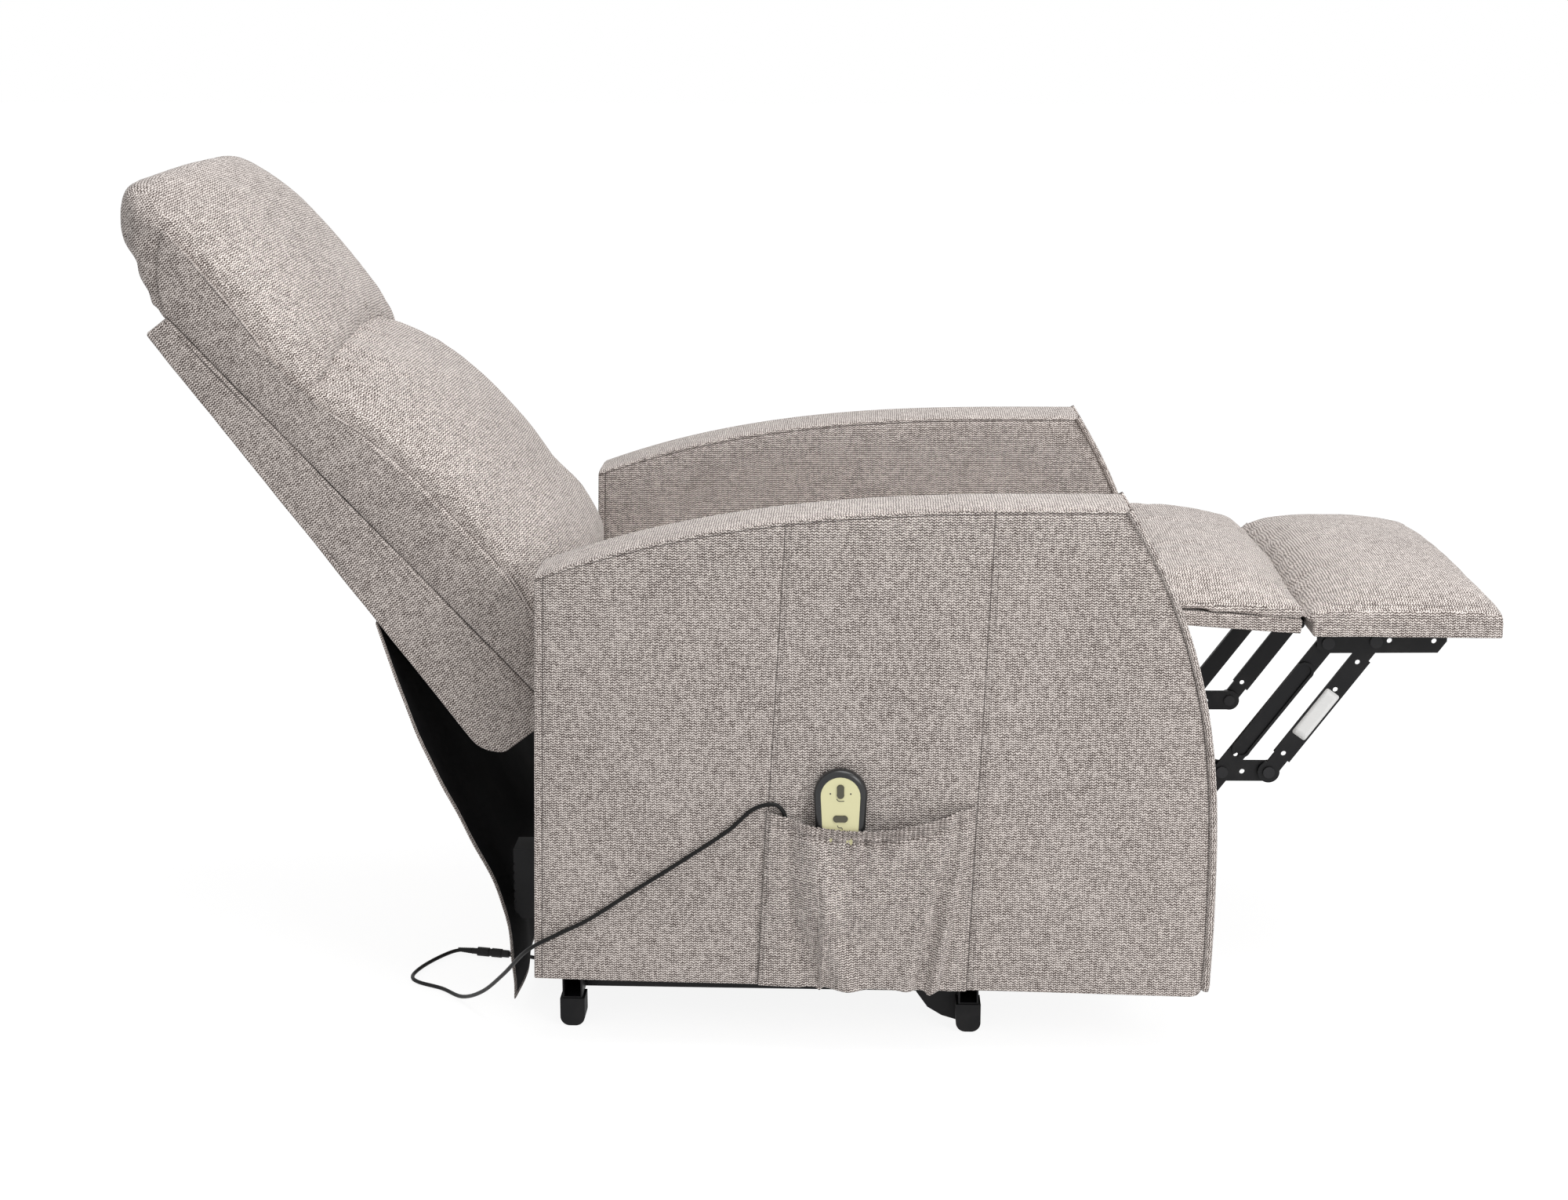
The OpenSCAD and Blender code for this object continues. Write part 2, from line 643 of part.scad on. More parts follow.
module control_box() color(plastic) {
    slab(-plate_out - clear - 46, 46) difference() {
        polygon([[-376, 112], [-386, 124], [-386, 205], [-322, 205], [-322, 112]]);
        for (z = [135:12:190]) translate([-388, z]) square([4, 4]);
    }
    translate([-334, -plate_out - clear - 20, 204]) cube([10, 20, flange_z - plate_t - clear - 204]);
}

// The outside-back cloth hangs in a curve from the backrest to just above the floor
flap_line = [[-550, 510], [-523, 424], [-494, 344], [-455, 263], [-425, 201], [-403, 154], [-392, 101],
    [-388, 56], [-387, 12]];
flap_t = 3;
module rear_flap() color(cloth) {
    half = back_half - 2;
    line = smooth_route(flap_line, 2);
    last = len(line) - 1;
    ny = 14;
    normals = [for (i = [0:last])
        let (d = line[min(i + 1, last)] - line[max(i - 1, 0)]) [-d[1], d[0]] / norm(d)];
    loft([for (j = [0:ny]) let (
            y = half * (2 * j / ny - 1),
            wave = [for (i = [0:last]) 4 * pow(i / last, 2) * sin(720 * j / ny)],
            front = [for (i = [0:last]) line[i] + normals[i] * (wave[i] + flap_t)],
            rear = [for (i = [last:-1:0]) line[i] + normals[i] * wave[i]])
        [for (p = concat(front, rear)) [p[0], y, p[1]]]], sheet = true);
}

// ================= Backrest =================

function band(z) = back_band_foot + (back_band_top - back_band_foot) * z / back_l;

module back_frame() color(timber) in_back() {
    inset = 12;
    x0 = 8;
    post = 40;
    slat_half = back_half - inset - post - clear;
    for (s = [1, -1]) on_side(s) translate([x0, back_half - inset - post, inset])
        cube([back_timber_t, post, back_l - 2 * inset]);
    for (z = [inset, 200, 430, back_l - inset - 50]) translate([x0, -slat_half, z])
        cube([back_timber_t, 2 * slat_half, 50]);
}

bracket_in = plate_in - 9;     // the backrest brackets turn just inside the side plates
module back_brackets() color(steel) both_sides() {
    at = [for (p = [back_pivot, back_tube_at])
        let (dx = p[0] - back_foot[0], dz = p[1] - back_foot[1])
        [dx * cos(back_lean) + dz * sin(back_lean), -dx * sin(back_lean) + dz * cos(back_lean)]];
    in_back() slab(bracket_in, 5) difference() {
        union() {
            strip(at[0], [50, 40], 34);
            strip(at[0], at[1], 30);
            translate([33, 20]) square([34, 170]);
        }
        disc(at[0], pin_r + 1 + run);
        disc(at[1], 11 + run);
        disc([50, 90], 4);
        disc([50, 160], 4);
    }
    in_back() translate([32 + clear, bracket_in, 60]) cube([4, 40, 120]);
}

module back_tube() color(steel) {
    y_tube(back_tube_at, 11, 2.5, -bracket_in - 5, 2 * (bracket_in + 5));
    // Collars that keep the actuator's eye in its place
    for (y = [back_y - 12 - clear - 6, back_y + 12 + clear]) y_tube(back_tube_at, 15, 4.2, y, 6);
}

// The outer cover is a tapered tray, open to the front, that the frame lies in
module back_cover() color(cloth) in_back() difference() {
    slab(-back_half, 2 * back_half) polygon([[0, 0], [back_band_foot, 0], [back_band_top, back_l], [6, back_l],
        [0, back_l - 12]]);
    slab(-back_half + 7, 2 * (back_half - 7)) polygon([[7, 7], [back_band_foot + 1, 7],
        [back_band_foot + 1, 60], [back_band_top + 1, back_l - 7], [7, back_l - 7]]);
    for (s = [1, -1]) on_side(s) translate([26, bracket_in - 2, -2]) cube([100, 9, 12]);
}

// Crest of the lumbar cushion, as depth from the rear face at height z along the lean
function lumbar_crest(z) = z > 215
    ? lumbar_depth - 70 * pow((z - 215) / 315, 2.6)
    : lumbar_depth - 60 * pow((215 - z) / 215, 1.8);
function side_seam(z) = 170 - 38 * pow(max(z - 180, 0) / 380, 1.2);
crease_z = 530;                // where the head cushion meets the lumbar cushion, in the middle
crease_sag = 47;               // and how much lower they meet at the sides

module lumbar_cushion() color(cloth) in_back() {
    n = 20;
    loft([for (f = cushion_stations)
        let (top = crease_z - 2 - crease_sag * f * f, c = crown(f, 2.6))
        concat(
            [for (i = [0:3]) let (z = 1 + (top - 1) * i / 3) [band(z) + clear, f * back_half, z]],
            [for (i = [0:n]) let (
                    u = 1 - i / n,
                    z = 1 + (top - 1) * u,
                    edge = side_seam(z),
                    deep = edge + (lumbar_crest(z * crease_z / (top + 2)) - edge) * c,
                    ends = pow(sin(180 * min(max(u, 0.02), 0.98)), 0.28))
                [band(z) + 2 + (deep - band(z) - 2) * (0.35 + 0.65 * ends), f * back_half, z]])]);
}

// Ring of the head cushion at height fraction: a closed pillow round the top of the backrest
module head_cushion() color(cloth) in_back() {
    top_z = back_l + head_rise;
    loft([for (f = cushion_stations)
        let (
            low = crease_z + 1 - crease_sag * f * f,
            inset = 24 * pow(abs(f), 5),
            high = top_z - inset,
            ax = 34,
            bx = 202 - inset * 0.8)
        concat(
            [[band(low) + 1, f * back_half, low]],
            [for (z = [back_l - 90, back_l - 40, back_l + 2]) [band(z) + 1, f * back_half, z]],
            [[42, f * back_half, back_l + 60], [48, f * back_half, high - 66]],
            [for (a = [180:-18:0]) let (cx = (ax + 22 + bx) / 2 - 4, rx = (bx - ax - 22) / 2 - 6)
                [cx + rx * cos(a), f * back_half, high - 62 + 62 * sin(a)]],
            [for (t = [0.2:0.2:0.8]) let (z = high - 62 + (low - high + 62) * t)
                [bx - 10 + 10 * sin(180 * min(t * 1.1, 1)) - 14 * pow(t, 3), f * back_half, z]],
            [[bx - 32, f * back_half, low + 14], [bx - 62, f * back_half, low + 2]])]);
}

// ================= Footrest linkage =================

module crank_link(s) color(steel) on_side(s) slab(crank_plane, link_t) difference() {
    union() {
        strip(crank_pivot, crank_rear, 26);
        strip(crank_rear, crank_front, 28);
        disc(crank_pivot, 17);
    }
    disc(crank_pivot, pin_r + 1 + run);
    disc(crank_rear, r_pin_hole);
    disc(crank_front, r_pin_hole);
    disc(crank_rear + [27, -1], 3.5);
    disc(crank_pivot + [60, -20], 3.5);
}

module drive_tube() color(steel) y_tube(crank_pivot + [34, -12], 8, 2, -crank_plane, 2 * crank_plane);

module link_pins() color("silver") both_sides() for (at = [crank_rear, crank_front]) {
    y_bar(at, pin_r, crank_plane, long_plane + link_t - crank_plane);
    y_bar(at, pin_r + 3.5, crank_plane - 2.5, 2.5);
    y_bar(at, pin_r + 3.5, long_plane + link_t + clear, 2.5);
}

// The rear link is a pressed channel that runs on past its lower pivot
module rear_link(s) color(steel) on_side(s) difference() {
    dir = [cos(link_angle), sin(link_angle)];
    union() {
        slab(long_plane, link_t) strip(crank_rear - dir * 30, foot_rear_pivot, link_w);
        slab(long_plane + link_t, 3) difference() {
            strip(crank_rear + dir * 40, foot_rear_pivot - dir * 47, link_w);
            strip(crank_rear + dir * 40, foot_rear_pivot - dir * 47, link_w - 7);
        }
    }
    for (at = [crank_rear, foot_rear_pivot]) y_bar(at, r_pin_hole, long_plane - 1, 12);
    y_bar(crank_rear + dir * 29, 3, long_plane - 1, 12);
}

// The front link is a broad flat bar, waisted and bored
module front_link(s) color(steel) on_side(s) slab(long_plane, link_t) difference() {
    d = foot_front_pivot - crank_front;
    dir = d / norm(d);
    side = [dir[1], -dir[0]];
    union() {
        strip(crank_front, foot_front_pivot, link_w - 3);
        polygon([crank_front + dir * 26 + side * (link_w / 2 + 1), crank_front + dir * 26 - side * link_w / 2,
            foot_front_pivot - dir * 26 - side * link_w / 2, foot_front_pivot - dir * 26 + side * (link_w / 2 + 1)]);
        disc(crank_front, 14);
        disc(foot_front_pivot, 13);
    }
    disc(crank_front, r_pin_hole);
    disc(foot_front_pivot, pin_r + 0.7);
    for (along = [31, 137, 182]) disc(crank_front + dir * along, 3.4);
}

module footrest_bracket(s) color(steel) on_side(s) {
    slab(bracket_plane, link_t) difference() {
        polygon([[foot_rear_pivot[0] - 14, board_z], [foot_rear_pivot[0] - 14, foot_rear_pivot[1] - 6],
            [foot_rear_pivot[0] - 6, foot_rear_pivot[1] - 13], [foot_rear_pivot[0] + 138, foot_rear_pivot[1] - 11],
            [foot_rear_pivot[0] + 149, foot_rear_pivot[1] + 4], [foot_rear_pivot[0] + 149, board_z]]);
        for (at = [foot_rear_pivot, foot_front_pivot]) disc(at, r_pin_hole);
        for (x = [77, 133]) disc(foot_rear_pivot + [x, 4], 3.5);
    }
    translate([foot_rear_pivot[0] - 14, bracket_plane + link_t, board_z - 3]) cube([163, 24, 3]);
}

module footrest_pins() color("silver") both_sides() for (at = [foot_rear_pivot, foot_front_pivot]) {
    y_bar(at, pin_r, long_plane, bracket_plane + link_t - long_plane);
    y_bar(at, pin_r + 4, bracket_plane + link_t, 2.5);
    y_bar(at, pin_r + 4, long_plane - 2.5 - clear, 2.5);
}

pad_front_x = crease[0] + pad_l;
hinge_r = 5;
hinge_pin_r = 2.5;
hinge_knuckle_l = 30;
hinge_y = [-footrest_half + 60, -hinge_knuckle_l / 2, footrest_half - 60 - hinge_knuckle_l];
module footrest_board() color(cloth * 0.95) {
    translate([crease[0] + 8, -footrest_half + 2, board_z]) cube([pad_l - 12, 2 * (footrest_half - 2), board_t]);
    for (y = hinge_y) hinge_knuckle(y, hinge_knuckle_l);
}

module hinge_knuckle(y, l) difference() {
    union() {
        y_bar(crease, hinge_r, y, l);
        translate([crease[0], y, board_z]) cube([10, l, 5]);
    }
    y_bar(crease, hinge_pin_r + run, y - 1, l + 2);
}

module footrest_pad() color(cloth)
    pad_solid(footrest_half, crease[0] + 3, pad_front_x, board_z + board_t + clear, board_z + board_t + 12,
        pad_h - 14, 18);

mid_rear = [396, 522];         // rear lower edge of the mid pad, against the seat
module mid_board() color(cloth * 0.95) {
    lean = lean_of(mid_rear, crease);
    length = norm(crease - mid_rear);
    translate([mid_rear[0], 0, mid_rear[1]]) rotate([0, -lean, 0])
        translate([0, -footrest_half + 2, 0]) cube([length - 9, 2 * (footrest_half - 2), 11]);
    // Each hinge pin sits in two knuckles beside the outer board's one
    for (y = hinge_y) {
        y_bar(crease, hinge_pin_r, y - 14, hinge_knuckle_l + 28);
        for (side = [y - 14, y + hinge_knuckle_l + clear]) {
            y_bar(crease, hinge_r, side, 14 - clear);
            translate([crease[0] - 14, side, crease[1] - 3]) cube([14, 14 - clear, 6]);
        }
    }
}

module mid_pad() color(cloth) {
    lean = lean_of(mid_rear, crease);
    length = norm(crease - mid_rear);
    translate([mid_rear[0], 0, mid_rear[1]]) rotate([0, -lean, 0])
        pad_solid(footrest_half, 0, length - 5, 11 + clear, 22, pad_h - 30, 16);
}

// ================= Cords =================

plug_from = [-468, -90, 6];
plug_dir = [0.98, -0.18, 0] / norm([0.98, -0.18, 0]);
handset_route = [[34, -380, 217.6], [34, -380, 203], [28, -380, 190], [16, -380, 184], [3, -379.5, 190],
    [-6, -379, 206], [-13, -377, 232], [-20, -375, 262], [-30, -374, 298],
    [-37, -374.5, 316], [-50, -375, 322], [-73, -375, 314], [-100, -375, 289], [-148, -375, 255],
    [-220, -375, 207], [-272, -375, 172], [-307, -375, 154], [-348, -372, 130], [-385, -330, 80],
    [-420, -284, 36], [-455, -240, 8], [-488, -205, 3], [-522, -187, 3], [-534, -170, 3], [-530, -145, 3],
    [-516, -115, 3], [-497, -91, 4], plug_from - 14 * plug_dir, plug_from - 0.3 * plug_dir];
socket_end = plug_from + 58 * plug_dir;
lead_route = [socket_end + 0.3 * plug_dir, socket_end + 12 * plug_dir, [-378, -109, 5], [-358, -124, 8],
    [-348, -165, 36], [-349, -192, 64], [-350, -204, 88], [-350, -205, 111.4]];

module handset_cord() color(plastic) sweep(smooth_route(handset_route, 2), cord_d / 2);

// A round connector along plug_dir: ribbed grip, collar and nose
module connector(parts) translate(plug_from) rotate([0, 0, atan2(plug_dir[1], plug_dir[0])]) rotate([0, 90, 0])
    for (p = parts) translate([0, 0, p[0]]) cylinder(r = p[2], h = p[1], $fn = 32);

module handset_plug() color(plastic) connector([[0, 8, 4], [8, 16, 6], [24, 4, 5]]);
module motor_socket() color(plastic) connector([[28 + clear, 14 - clear, 6], [42, 10, 5], [52, 6, 3.4]]);
module motor_lead() color(plastic) sweep(smooth_route(lead_route, 3), cord_d / 2);

// ================= What is drawn =================

base_cross_rear();
base_cross_mid();
base_outriggers();
base_rails();
base_feet();
base_pivot_plates();
lift_motor();
lift_rod();
lift_arm(-1);  // lift_arm_right
lift_arm(1);  // lift_arm_left
lift_tube();
lift_links();
side_plate(-1);  // side_plate_right
side_plate(1);  // side_plate_left
side_hangers();
seat_cross_tubes();
chair_pins();
seat_rail(-1);  // seat_rail_right
seat_rail(1);  // seat_rail_left
seat_end_rails();
seat_springs();
seat_cushion();
arm(-1);  // arm_right
arm(1);  // arm_left
piping(-1);  // piping_right
piping(1);  // piping_left
pocket();
handset_shell();
handset_face();
button(0);  // button_recline
button(1);  // button_lift
control_box();
rear_flap();
back_frame();
back_brackets();
back_tube();
back_cover();
lumbar_cushion();
head_cushion();
back_motor();
back_rod();
crank_link(-1);  // crank_link_right
crank_link(1);  // crank_link_left
drive_tube();
link_pins();
rear_link(-1);  // rear_link_right
rear_link(1);  // rear_link_left
front_link(-1);  // front_link_right
front_link(1);  // front_link_left
footrest_bracket(-1);  // footrest_bracket_right
footrest_bracket(1);  // footrest_bracket_left
footrest_pins();
footrest_board();
footrest_pad();
mid_board();
mid_pad();
handset_cord();
handset_plug();
motor_lead();
motor_socket();
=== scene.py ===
# %% [markdown]
# # Lift recliner chair
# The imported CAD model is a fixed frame: every steel part, pin and board is already where it belongs.
# This script dresses that frame. It keeps the steel, gives it finishes, and replaces each soft
# stand-in with cloth, padding and seams. Everything is in metres: +X is the way the sitter faces,
# +Y is the sitter's left, and +Z is up.

# %% Load the frame
import math

import bmesh
import bpy
import mathutils
import numpy as np
from mathutils import Matrix, Vector


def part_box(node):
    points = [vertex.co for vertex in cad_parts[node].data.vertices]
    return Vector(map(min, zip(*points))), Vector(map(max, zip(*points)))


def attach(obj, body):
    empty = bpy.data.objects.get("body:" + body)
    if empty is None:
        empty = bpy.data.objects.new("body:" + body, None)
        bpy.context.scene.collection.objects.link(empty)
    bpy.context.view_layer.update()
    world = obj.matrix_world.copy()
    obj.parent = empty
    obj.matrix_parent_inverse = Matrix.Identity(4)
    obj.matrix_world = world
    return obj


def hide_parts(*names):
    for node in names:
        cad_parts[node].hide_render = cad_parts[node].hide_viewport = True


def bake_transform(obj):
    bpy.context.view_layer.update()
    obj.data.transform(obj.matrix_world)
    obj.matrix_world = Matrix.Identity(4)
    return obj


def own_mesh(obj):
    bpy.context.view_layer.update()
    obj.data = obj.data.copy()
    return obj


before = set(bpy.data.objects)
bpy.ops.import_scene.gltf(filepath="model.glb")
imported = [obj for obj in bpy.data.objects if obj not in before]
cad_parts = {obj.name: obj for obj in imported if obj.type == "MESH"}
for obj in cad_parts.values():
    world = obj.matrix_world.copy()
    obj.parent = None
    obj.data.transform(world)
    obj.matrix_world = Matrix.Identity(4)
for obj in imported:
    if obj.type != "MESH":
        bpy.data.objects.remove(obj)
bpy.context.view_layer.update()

# %% [markdown]
# ## Camera
# A studio shot from the sitter's right, a little above the arms and pitched down ten degrees.
# The long lens keeps the side panel nearly flat on, so that lengths can be compared.

# %% Camera
def placed(name, data):
    """A new object in the scene, which shows the given data."""
    piece = bpy.data.objects.new(name, data)
    bpy.context.scene.collection.objects.link(piece)
    return piece


camera = placed("studio_camera", bpy.data.cameras.new("studio_camera"))
camera.data.lens = 50.55
camera.data.sensor_width = 36
camera.data.shift_y = -0.10
camera.location = (0.058, -2.893, 1.225)
camera.rotation_euler = (math.radians(79.6), 0, math.radians(2.09))
bpy.context.scene.camera = camera
print("camera at", tuple(round(c, 3) for c in camera.location))

# %% [markdown]
# ## Lines and curves
# Upholstery is drawn with a few chosen points and a smooth curve through them. One helper does
# that everywhere: for cords, for the cloth at the back and for the profiles of the cushions.

# %% Smooth curves
def curve_between(a, b, c, d, steps):
    """Points of a smooth curve from b towards c, where a comes before b and d comes after c."""
    return [0.5 * (2 * b + (c - a) * f + (2 * a - 5 * b + 4 * c - d) * f**2 + (3 * b - a - 3 * c + d) * f**3)
            for f in (k / steps for k in range(steps))]


def smooth_line(points, steps):
    """Points of a smooth curve through the given points, with that many steps between each two."""
    p = [np.array(q, float) for q in points]
    last = len(p) - 1
    line = []
    for i in range(last):
        line += curve_between(p[max(i - 1, 0)], p[i], p[i + 1], p[min(i + 2, last)], steps)
    return np.array(line + [p[-1]])


def run_along(line):
    """How far along the line each of its points is."""
    return np.concatenate([[0], np.cumsum(np.linalg.norm(np.diff(line, axis=0), axis=1))])


def along(line, v):
    """The point at share v of the way along a 2-D line."""
    run = run_along(line)
    return np.array([np.interp(v * run[-1], run, line[:, i]) for i in (0, 1)])


def line_length(line):
    return float(np.linalg.norm(np.diff(line, axis=0), axis=1).sum())


def metres(points):
    return np.array(points, float) * 0.001


# %% [markdown]
# ## Cords
# The handset's cord is a limp 5 mm lead. It comes out of the handset's foot inside the pocket,
# rises over the hem, drops across the side panel to the rear corner, runs down to the floor,
# turns in a loose loop and ends in its plug. The socket's own lead goes back up under the chair.

# %% Cord routes
plug_from = np.array([-0.468, -0.090, 0.006])
plug_dir = np.array([0.98, -0.18, 0.0])
plug_dir /= np.linalg.norm(plug_dir)
handset_route = [*metres([
    (34, -380, 217.6), (34, -380, 203), (28, -380, 190), (16, -380, 184), (3, -379.5, 190),
    (-6, -379, 206), (-13, -377, 232), (-20, -375, 262), (-30, -374, 298),
    (-37, -374.5, 316), (-50, -375, 322), (-73, -375, 314), (-100, -375, 289), (-148, -375, 255),
    (-220, -375, 207), (-272, -375, 172), (-307, -375, 154), (-348, -372, 130), (-385, -330, 80),
    (-420, -284, 36), (-455, -240, 8), (-488, -205, 3), (-522, -187, 3), (-534, -170, 3),
    (-530, -145, 3), (-516, -115, 3), (-497, -91, 4)]),
    plug_from - 0.014 * plug_dir, plug_from - 0.0003 * plug_dir]
socket_end = plug_from + 0.058 * plug_dir
lead_route = [socket_end + 0.0003 * plug_dir, socket_end + 0.012 * plug_dir, *metres([
    (-378, -109, 5), (-358, -124, 8), (-348, -165, 36), (-349, -192, 64), (-350, -204, 88),
    (-350, -205, 111.4)])]


def lead(name, route, radius):
    """A round lead: one open spline with a round bevel."""
    line = smooth_line(route, 6)
    curve = bpy.data.curves.new(name, "CURVE")
    curve.dimensions = "3D"
    curve.bevel_depth = radius
    curve.bevel_resolution = 4
    curve.use_fill_caps = True
    spline = curve.splines.new("POLY")
    spline.points.add(len(line) - 1)
    for point, place in zip(spline.points, line):
        point.co = (*place, 1)
    return placed(name, curve), line


handset_lead, handset_line = lead("handset_lead", handset_route, 0.0025)
socket_lead, socket_line = lead("socket_lead", lead_route[::-1], 0.0025)
print("handset lead %.3f m, socket lead %.3f m" % (line_length(handset_line), line_length(socket_line)))

# %% [markdown]
# ## Node helpers
# Materials are small node trees. These helpers add a node, wire numbers or sockets into it, and
# do sums, so that each finish below reads like a recipe.

# %% Node helpers
def put(tree, kind, inputs=None, **settings):
    """Adds a node, sets its options, and fills its inputs with numbers or wires."""
    made = tree.nodes.new(kind)
    for key, value in settings.items():
        setattr(made, key, value)
    for key, value in (inputs or {}).items():
        if isinstance(value, bpy.types.NodeSocket):
            tree.links.new(value, made.inputs[key])
        else:
            made.inputs[key].default_value = value
    return made


def texture_place(tree, kind="Object"):
    return put(tree, "ShaderNodeTexCoord").outputs[kind]


def sums(tree, operation, *values, clamp=False):
    inputs = dict(enumerate(values))
    return put(tree, "ShaderNodeMath", inputs, operation=operation, use_clamp=clamp).outputs[0]


def plus(tree, *values, **options):
    return sums(tree, "ADD", *values, **options)


def times(tree, *values, **options):
    return sums(tree, "MULTIPLY", *values, **options)


def mixed(tree, share, first, second):
    """Mixes two colours: the Mix node keeps its colour sockets at 6 and 7, and its result at 2."""
    return put(tree, "ShaderNodeMix", {0: share, 6: first, 7: second}, data_type="RGBA").outputs[2]


def ramp(tree, value, low, high, to_low=0.0, to_high=1.0):
    """Maps a value from one range to another, clamped and eased."""
    return put(tree, "ShaderNodeMapRange", {0: value, 1: low, 2: high, 3: to_low, 4: to_high},
               interpolation_type="SMOOTHSTEP").outputs[0]


def noise(tree, place, scale, detail=2.0, roughness=0.5):
    return put(tree, "ShaderNodeTexNoise", {"Vector": place, "Scale": scale, "Detail": detail,
                                            "Roughness": roughness}).outputs[0]


def stretched(tree, place, scale):
    return put(tree, "ShaderNodeMapping", {"Vector": place, "Scale": scale}).outputs[0]


def group(name, inputs, outputs):
    """An empty shader node group with named inputs and outputs."""
    tree = bpy.data.node_groups.new(name, "ShaderNodeTree")
    for title, kind, default in inputs:
        socket = tree.interface.new_socket(title, in_out="INPUT", socket_type=kind)
        if default is not None:
            socket.default_value = default
    for title, kind in outputs:
        tree.interface.new_socket(title, in_out="OUTPUT", socket_type=kind)
    return tree, tree.nodes.new("NodeGroupInput").outputs, tree.nodes.new("NodeGroupOutput").inputs


FLOAT, COLOUR, VECTOR = "NodeSocketFloat", "NodeSocketColor", "NodeSocketVector"

# %% [markdown]
# ## The cloth
# The cover is a coarse warm grey cloth. Its yarns lie in zigzag rows 3.1 mm apart, and each
# yarn is spun from light and dark fibres, so that no two stitches have quite the same tone. The
# group below draws rows, bends them in a zigzag, and adds fibre, slub and broad tone. It reads
# cloth coordinates in metres, so that the weave has its real size on every piece.

# %% Weave group
def make_weave():
    tree, given, out = group("zigzag_weave", [
        ("Place", VECTOR, None), ("Light", COLOUR, (0.84, 0.775, 0.735, 1)),
        ("Middle", COLOUR, (0.41, 0.355, 0.325, 1)), ("Dark", COLOUR, (0.055, 0.040, 0.036, 1)),
        ("Row", FLOAT, 0.0031), ("Stitch", FLOAT, 0.0054)],
        [("Color", COLOUR), ("Height", FLOAT), ("Pore", FLOAT)])
    place = given["Place"]
    parts = put(tree, "ShaderNodeSeparateXYZ", {0: place})
    along = plus(tree, parts.outputs[0], times(tree, noise(tree, place, 95.0, 1.0), 0.0024))
    across = plus(tree, parts.outputs[1], times(tree, noise(tree, place, 60.0, 2.0), 0.0040))
    stitch = sums(tree, "DIVIDE", along, given["Stitch"])
    zigzag = times(tree, sums(tree, "PINGPONG", stitch, 0.5), 1.15)
    row = plus(tree, sums(tree, "DIVIDE", across, given["Row"]), zigzag)
    wave = sums(tree, "COSINE", times(tree, row, 2 * math.pi))
    stroke = ramp(tree, sums(tree, "PINGPONG", times(tree, stitch, 2.0), 0.5), 0.0, 0.22, 0.30, 1.0)
    height = times(tree, sums(tree, "MULTIPLY_ADD", wave, 0.5, 0.5), stroke)
    cell = put(tree, "ShaderNodeCombineXYZ", {0: sums(tree, "FLOOR", times(tree, stitch, 2.0)),
                                             1: sums(tree, "FLOOR", plus(tree, row, 0.5))})
    spun = put(tree, "ShaderNodeTexWhiteNoise", {"Vector": cell.outputs[0]},
               noise_dimensions="2D").outputs["Value"]
    fibre = noise(tree, stretched(tree, place, (520, 620, 520)), 1.0, 2.0, 0.6)
    weft = noise(tree, stretched(tree, place, (38, 300, 38)), 1.0, 1.0)
    warp = noise(tree, stretched(tree, place, (290, 46, 46)), 1.0, 1.0)
    broad = noise(tree, place, 7.0, 2.0)
    tone = times(tree, height, 1.12)
    for layer, share in ((spun, 0.44), (fibre, 0.76), (weft, 0.26), (warp, 0.32), (broad, 0.18)):
        tone = plus(tree, tone, times(tree, layer, share))
    tone = sums(tree, "SUBTRACT", tone, 0.98, clamp=True)
    lower = times(tree, tone, 2.0, clamp=True)
    upper = sums(tree, "MULTIPLY_ADD", tone, 2.0, -1.0, clamp=True)
    colour = mixed(tree, upper, mixed(tree, lower, given["Dark"], given["Middle"]), given["Light"])
    tree.links.new(colour, out["Color"])
    tree.links.new(height, out["Height"])
    tree.links.new(ramp(tree, height, 0.35, 0.0), out["Pore"])
    return tree


weave = make_weave()
print("weave group with", len(weave.nodes), "nodes")

# %% [markdown]
# A seam is a narrow valley where two panels meet, with a row of stitches beside it. Meshes here
# carry two values on each point, seam and stitch, which are 1 on the line and fall to 0 at 20 mm.
# The group turns them into a valley darkened with painted shade, and a dotted line of stitches.

# %% Seam group
STITCH_PITCH = 0.0062


def make_seam():
    tree, given, out = group(
        "seam_lines", [("Seam", FLOAT, 0.0), ("Stitch", FLOAT, 0.0), ("Place", VECTOR, None)],
        [("Shade", FLOAT), ("Depth", FLOAT)])
    # The valley's near-black colour is painted shade along the seam.
    valley = ramp(tree, given["Seam"], 0.940, 0.988)
    shoulder = ramp(tree, given["Seam"], 0.62, 0.97)
    parts = put(tree, "ShaderNodeSeparateXYZ", {0: given["Place"]})
    run = times(tree, plus(tree, parts.outputs[0], parts.outputs[1]), 2 * math.pi / STITCH_PITCH)
    dash = ramp(tree, sums(tree, "SINE", run), -0.55, 0.1)
    thread = times(tree, ramp(tree, given["Stitch"], 0.93, 0.985), dash)
    shade = plus(tree, times(tree, valley, 0.66), times(tree, thread, 0.40))
    tree.links.new(sums(tree, "MINIMUM", shade, 0.9), out["Shade"])
    depth = plus(tree, times(tree, shoulder, -1.0), times(tree, thread, -0.4))
    tree.links.new(depth, out["Depth"])
    return tree


seam_lines = make_seam()


def surface(name, settings):
    """A material with one Principled shader, its constants set on the shader's own sockets."""
    material = bpy.data.materials.new(name)
    material.use_nodes = True
    tree = material.node_tree
    shader = tree.nodes["Principled BSDF"]
    for key, value in settings.items():
        shader.inputs[key].default_value = value
    return material, tree, shader


def use_group(tree, which, inputs):
    return put(tree, "ShaderNodeGroup", inputs, node_tree=which).outputs


def bumped(tree, shader, height, strength, distance):
    bump = put(tree, "ShaderNodeBump", {"Height": height, "Strength": strength, "Distance": distance})
    tree.links.new(bump.outputs[0], shader.inputs["Normal"])


def attribute(tree, name):
    return put(tree, "ShaderNodeAttribute", attribute_name=name, attribute_type="GEOMETRY").outputs["Fac"]


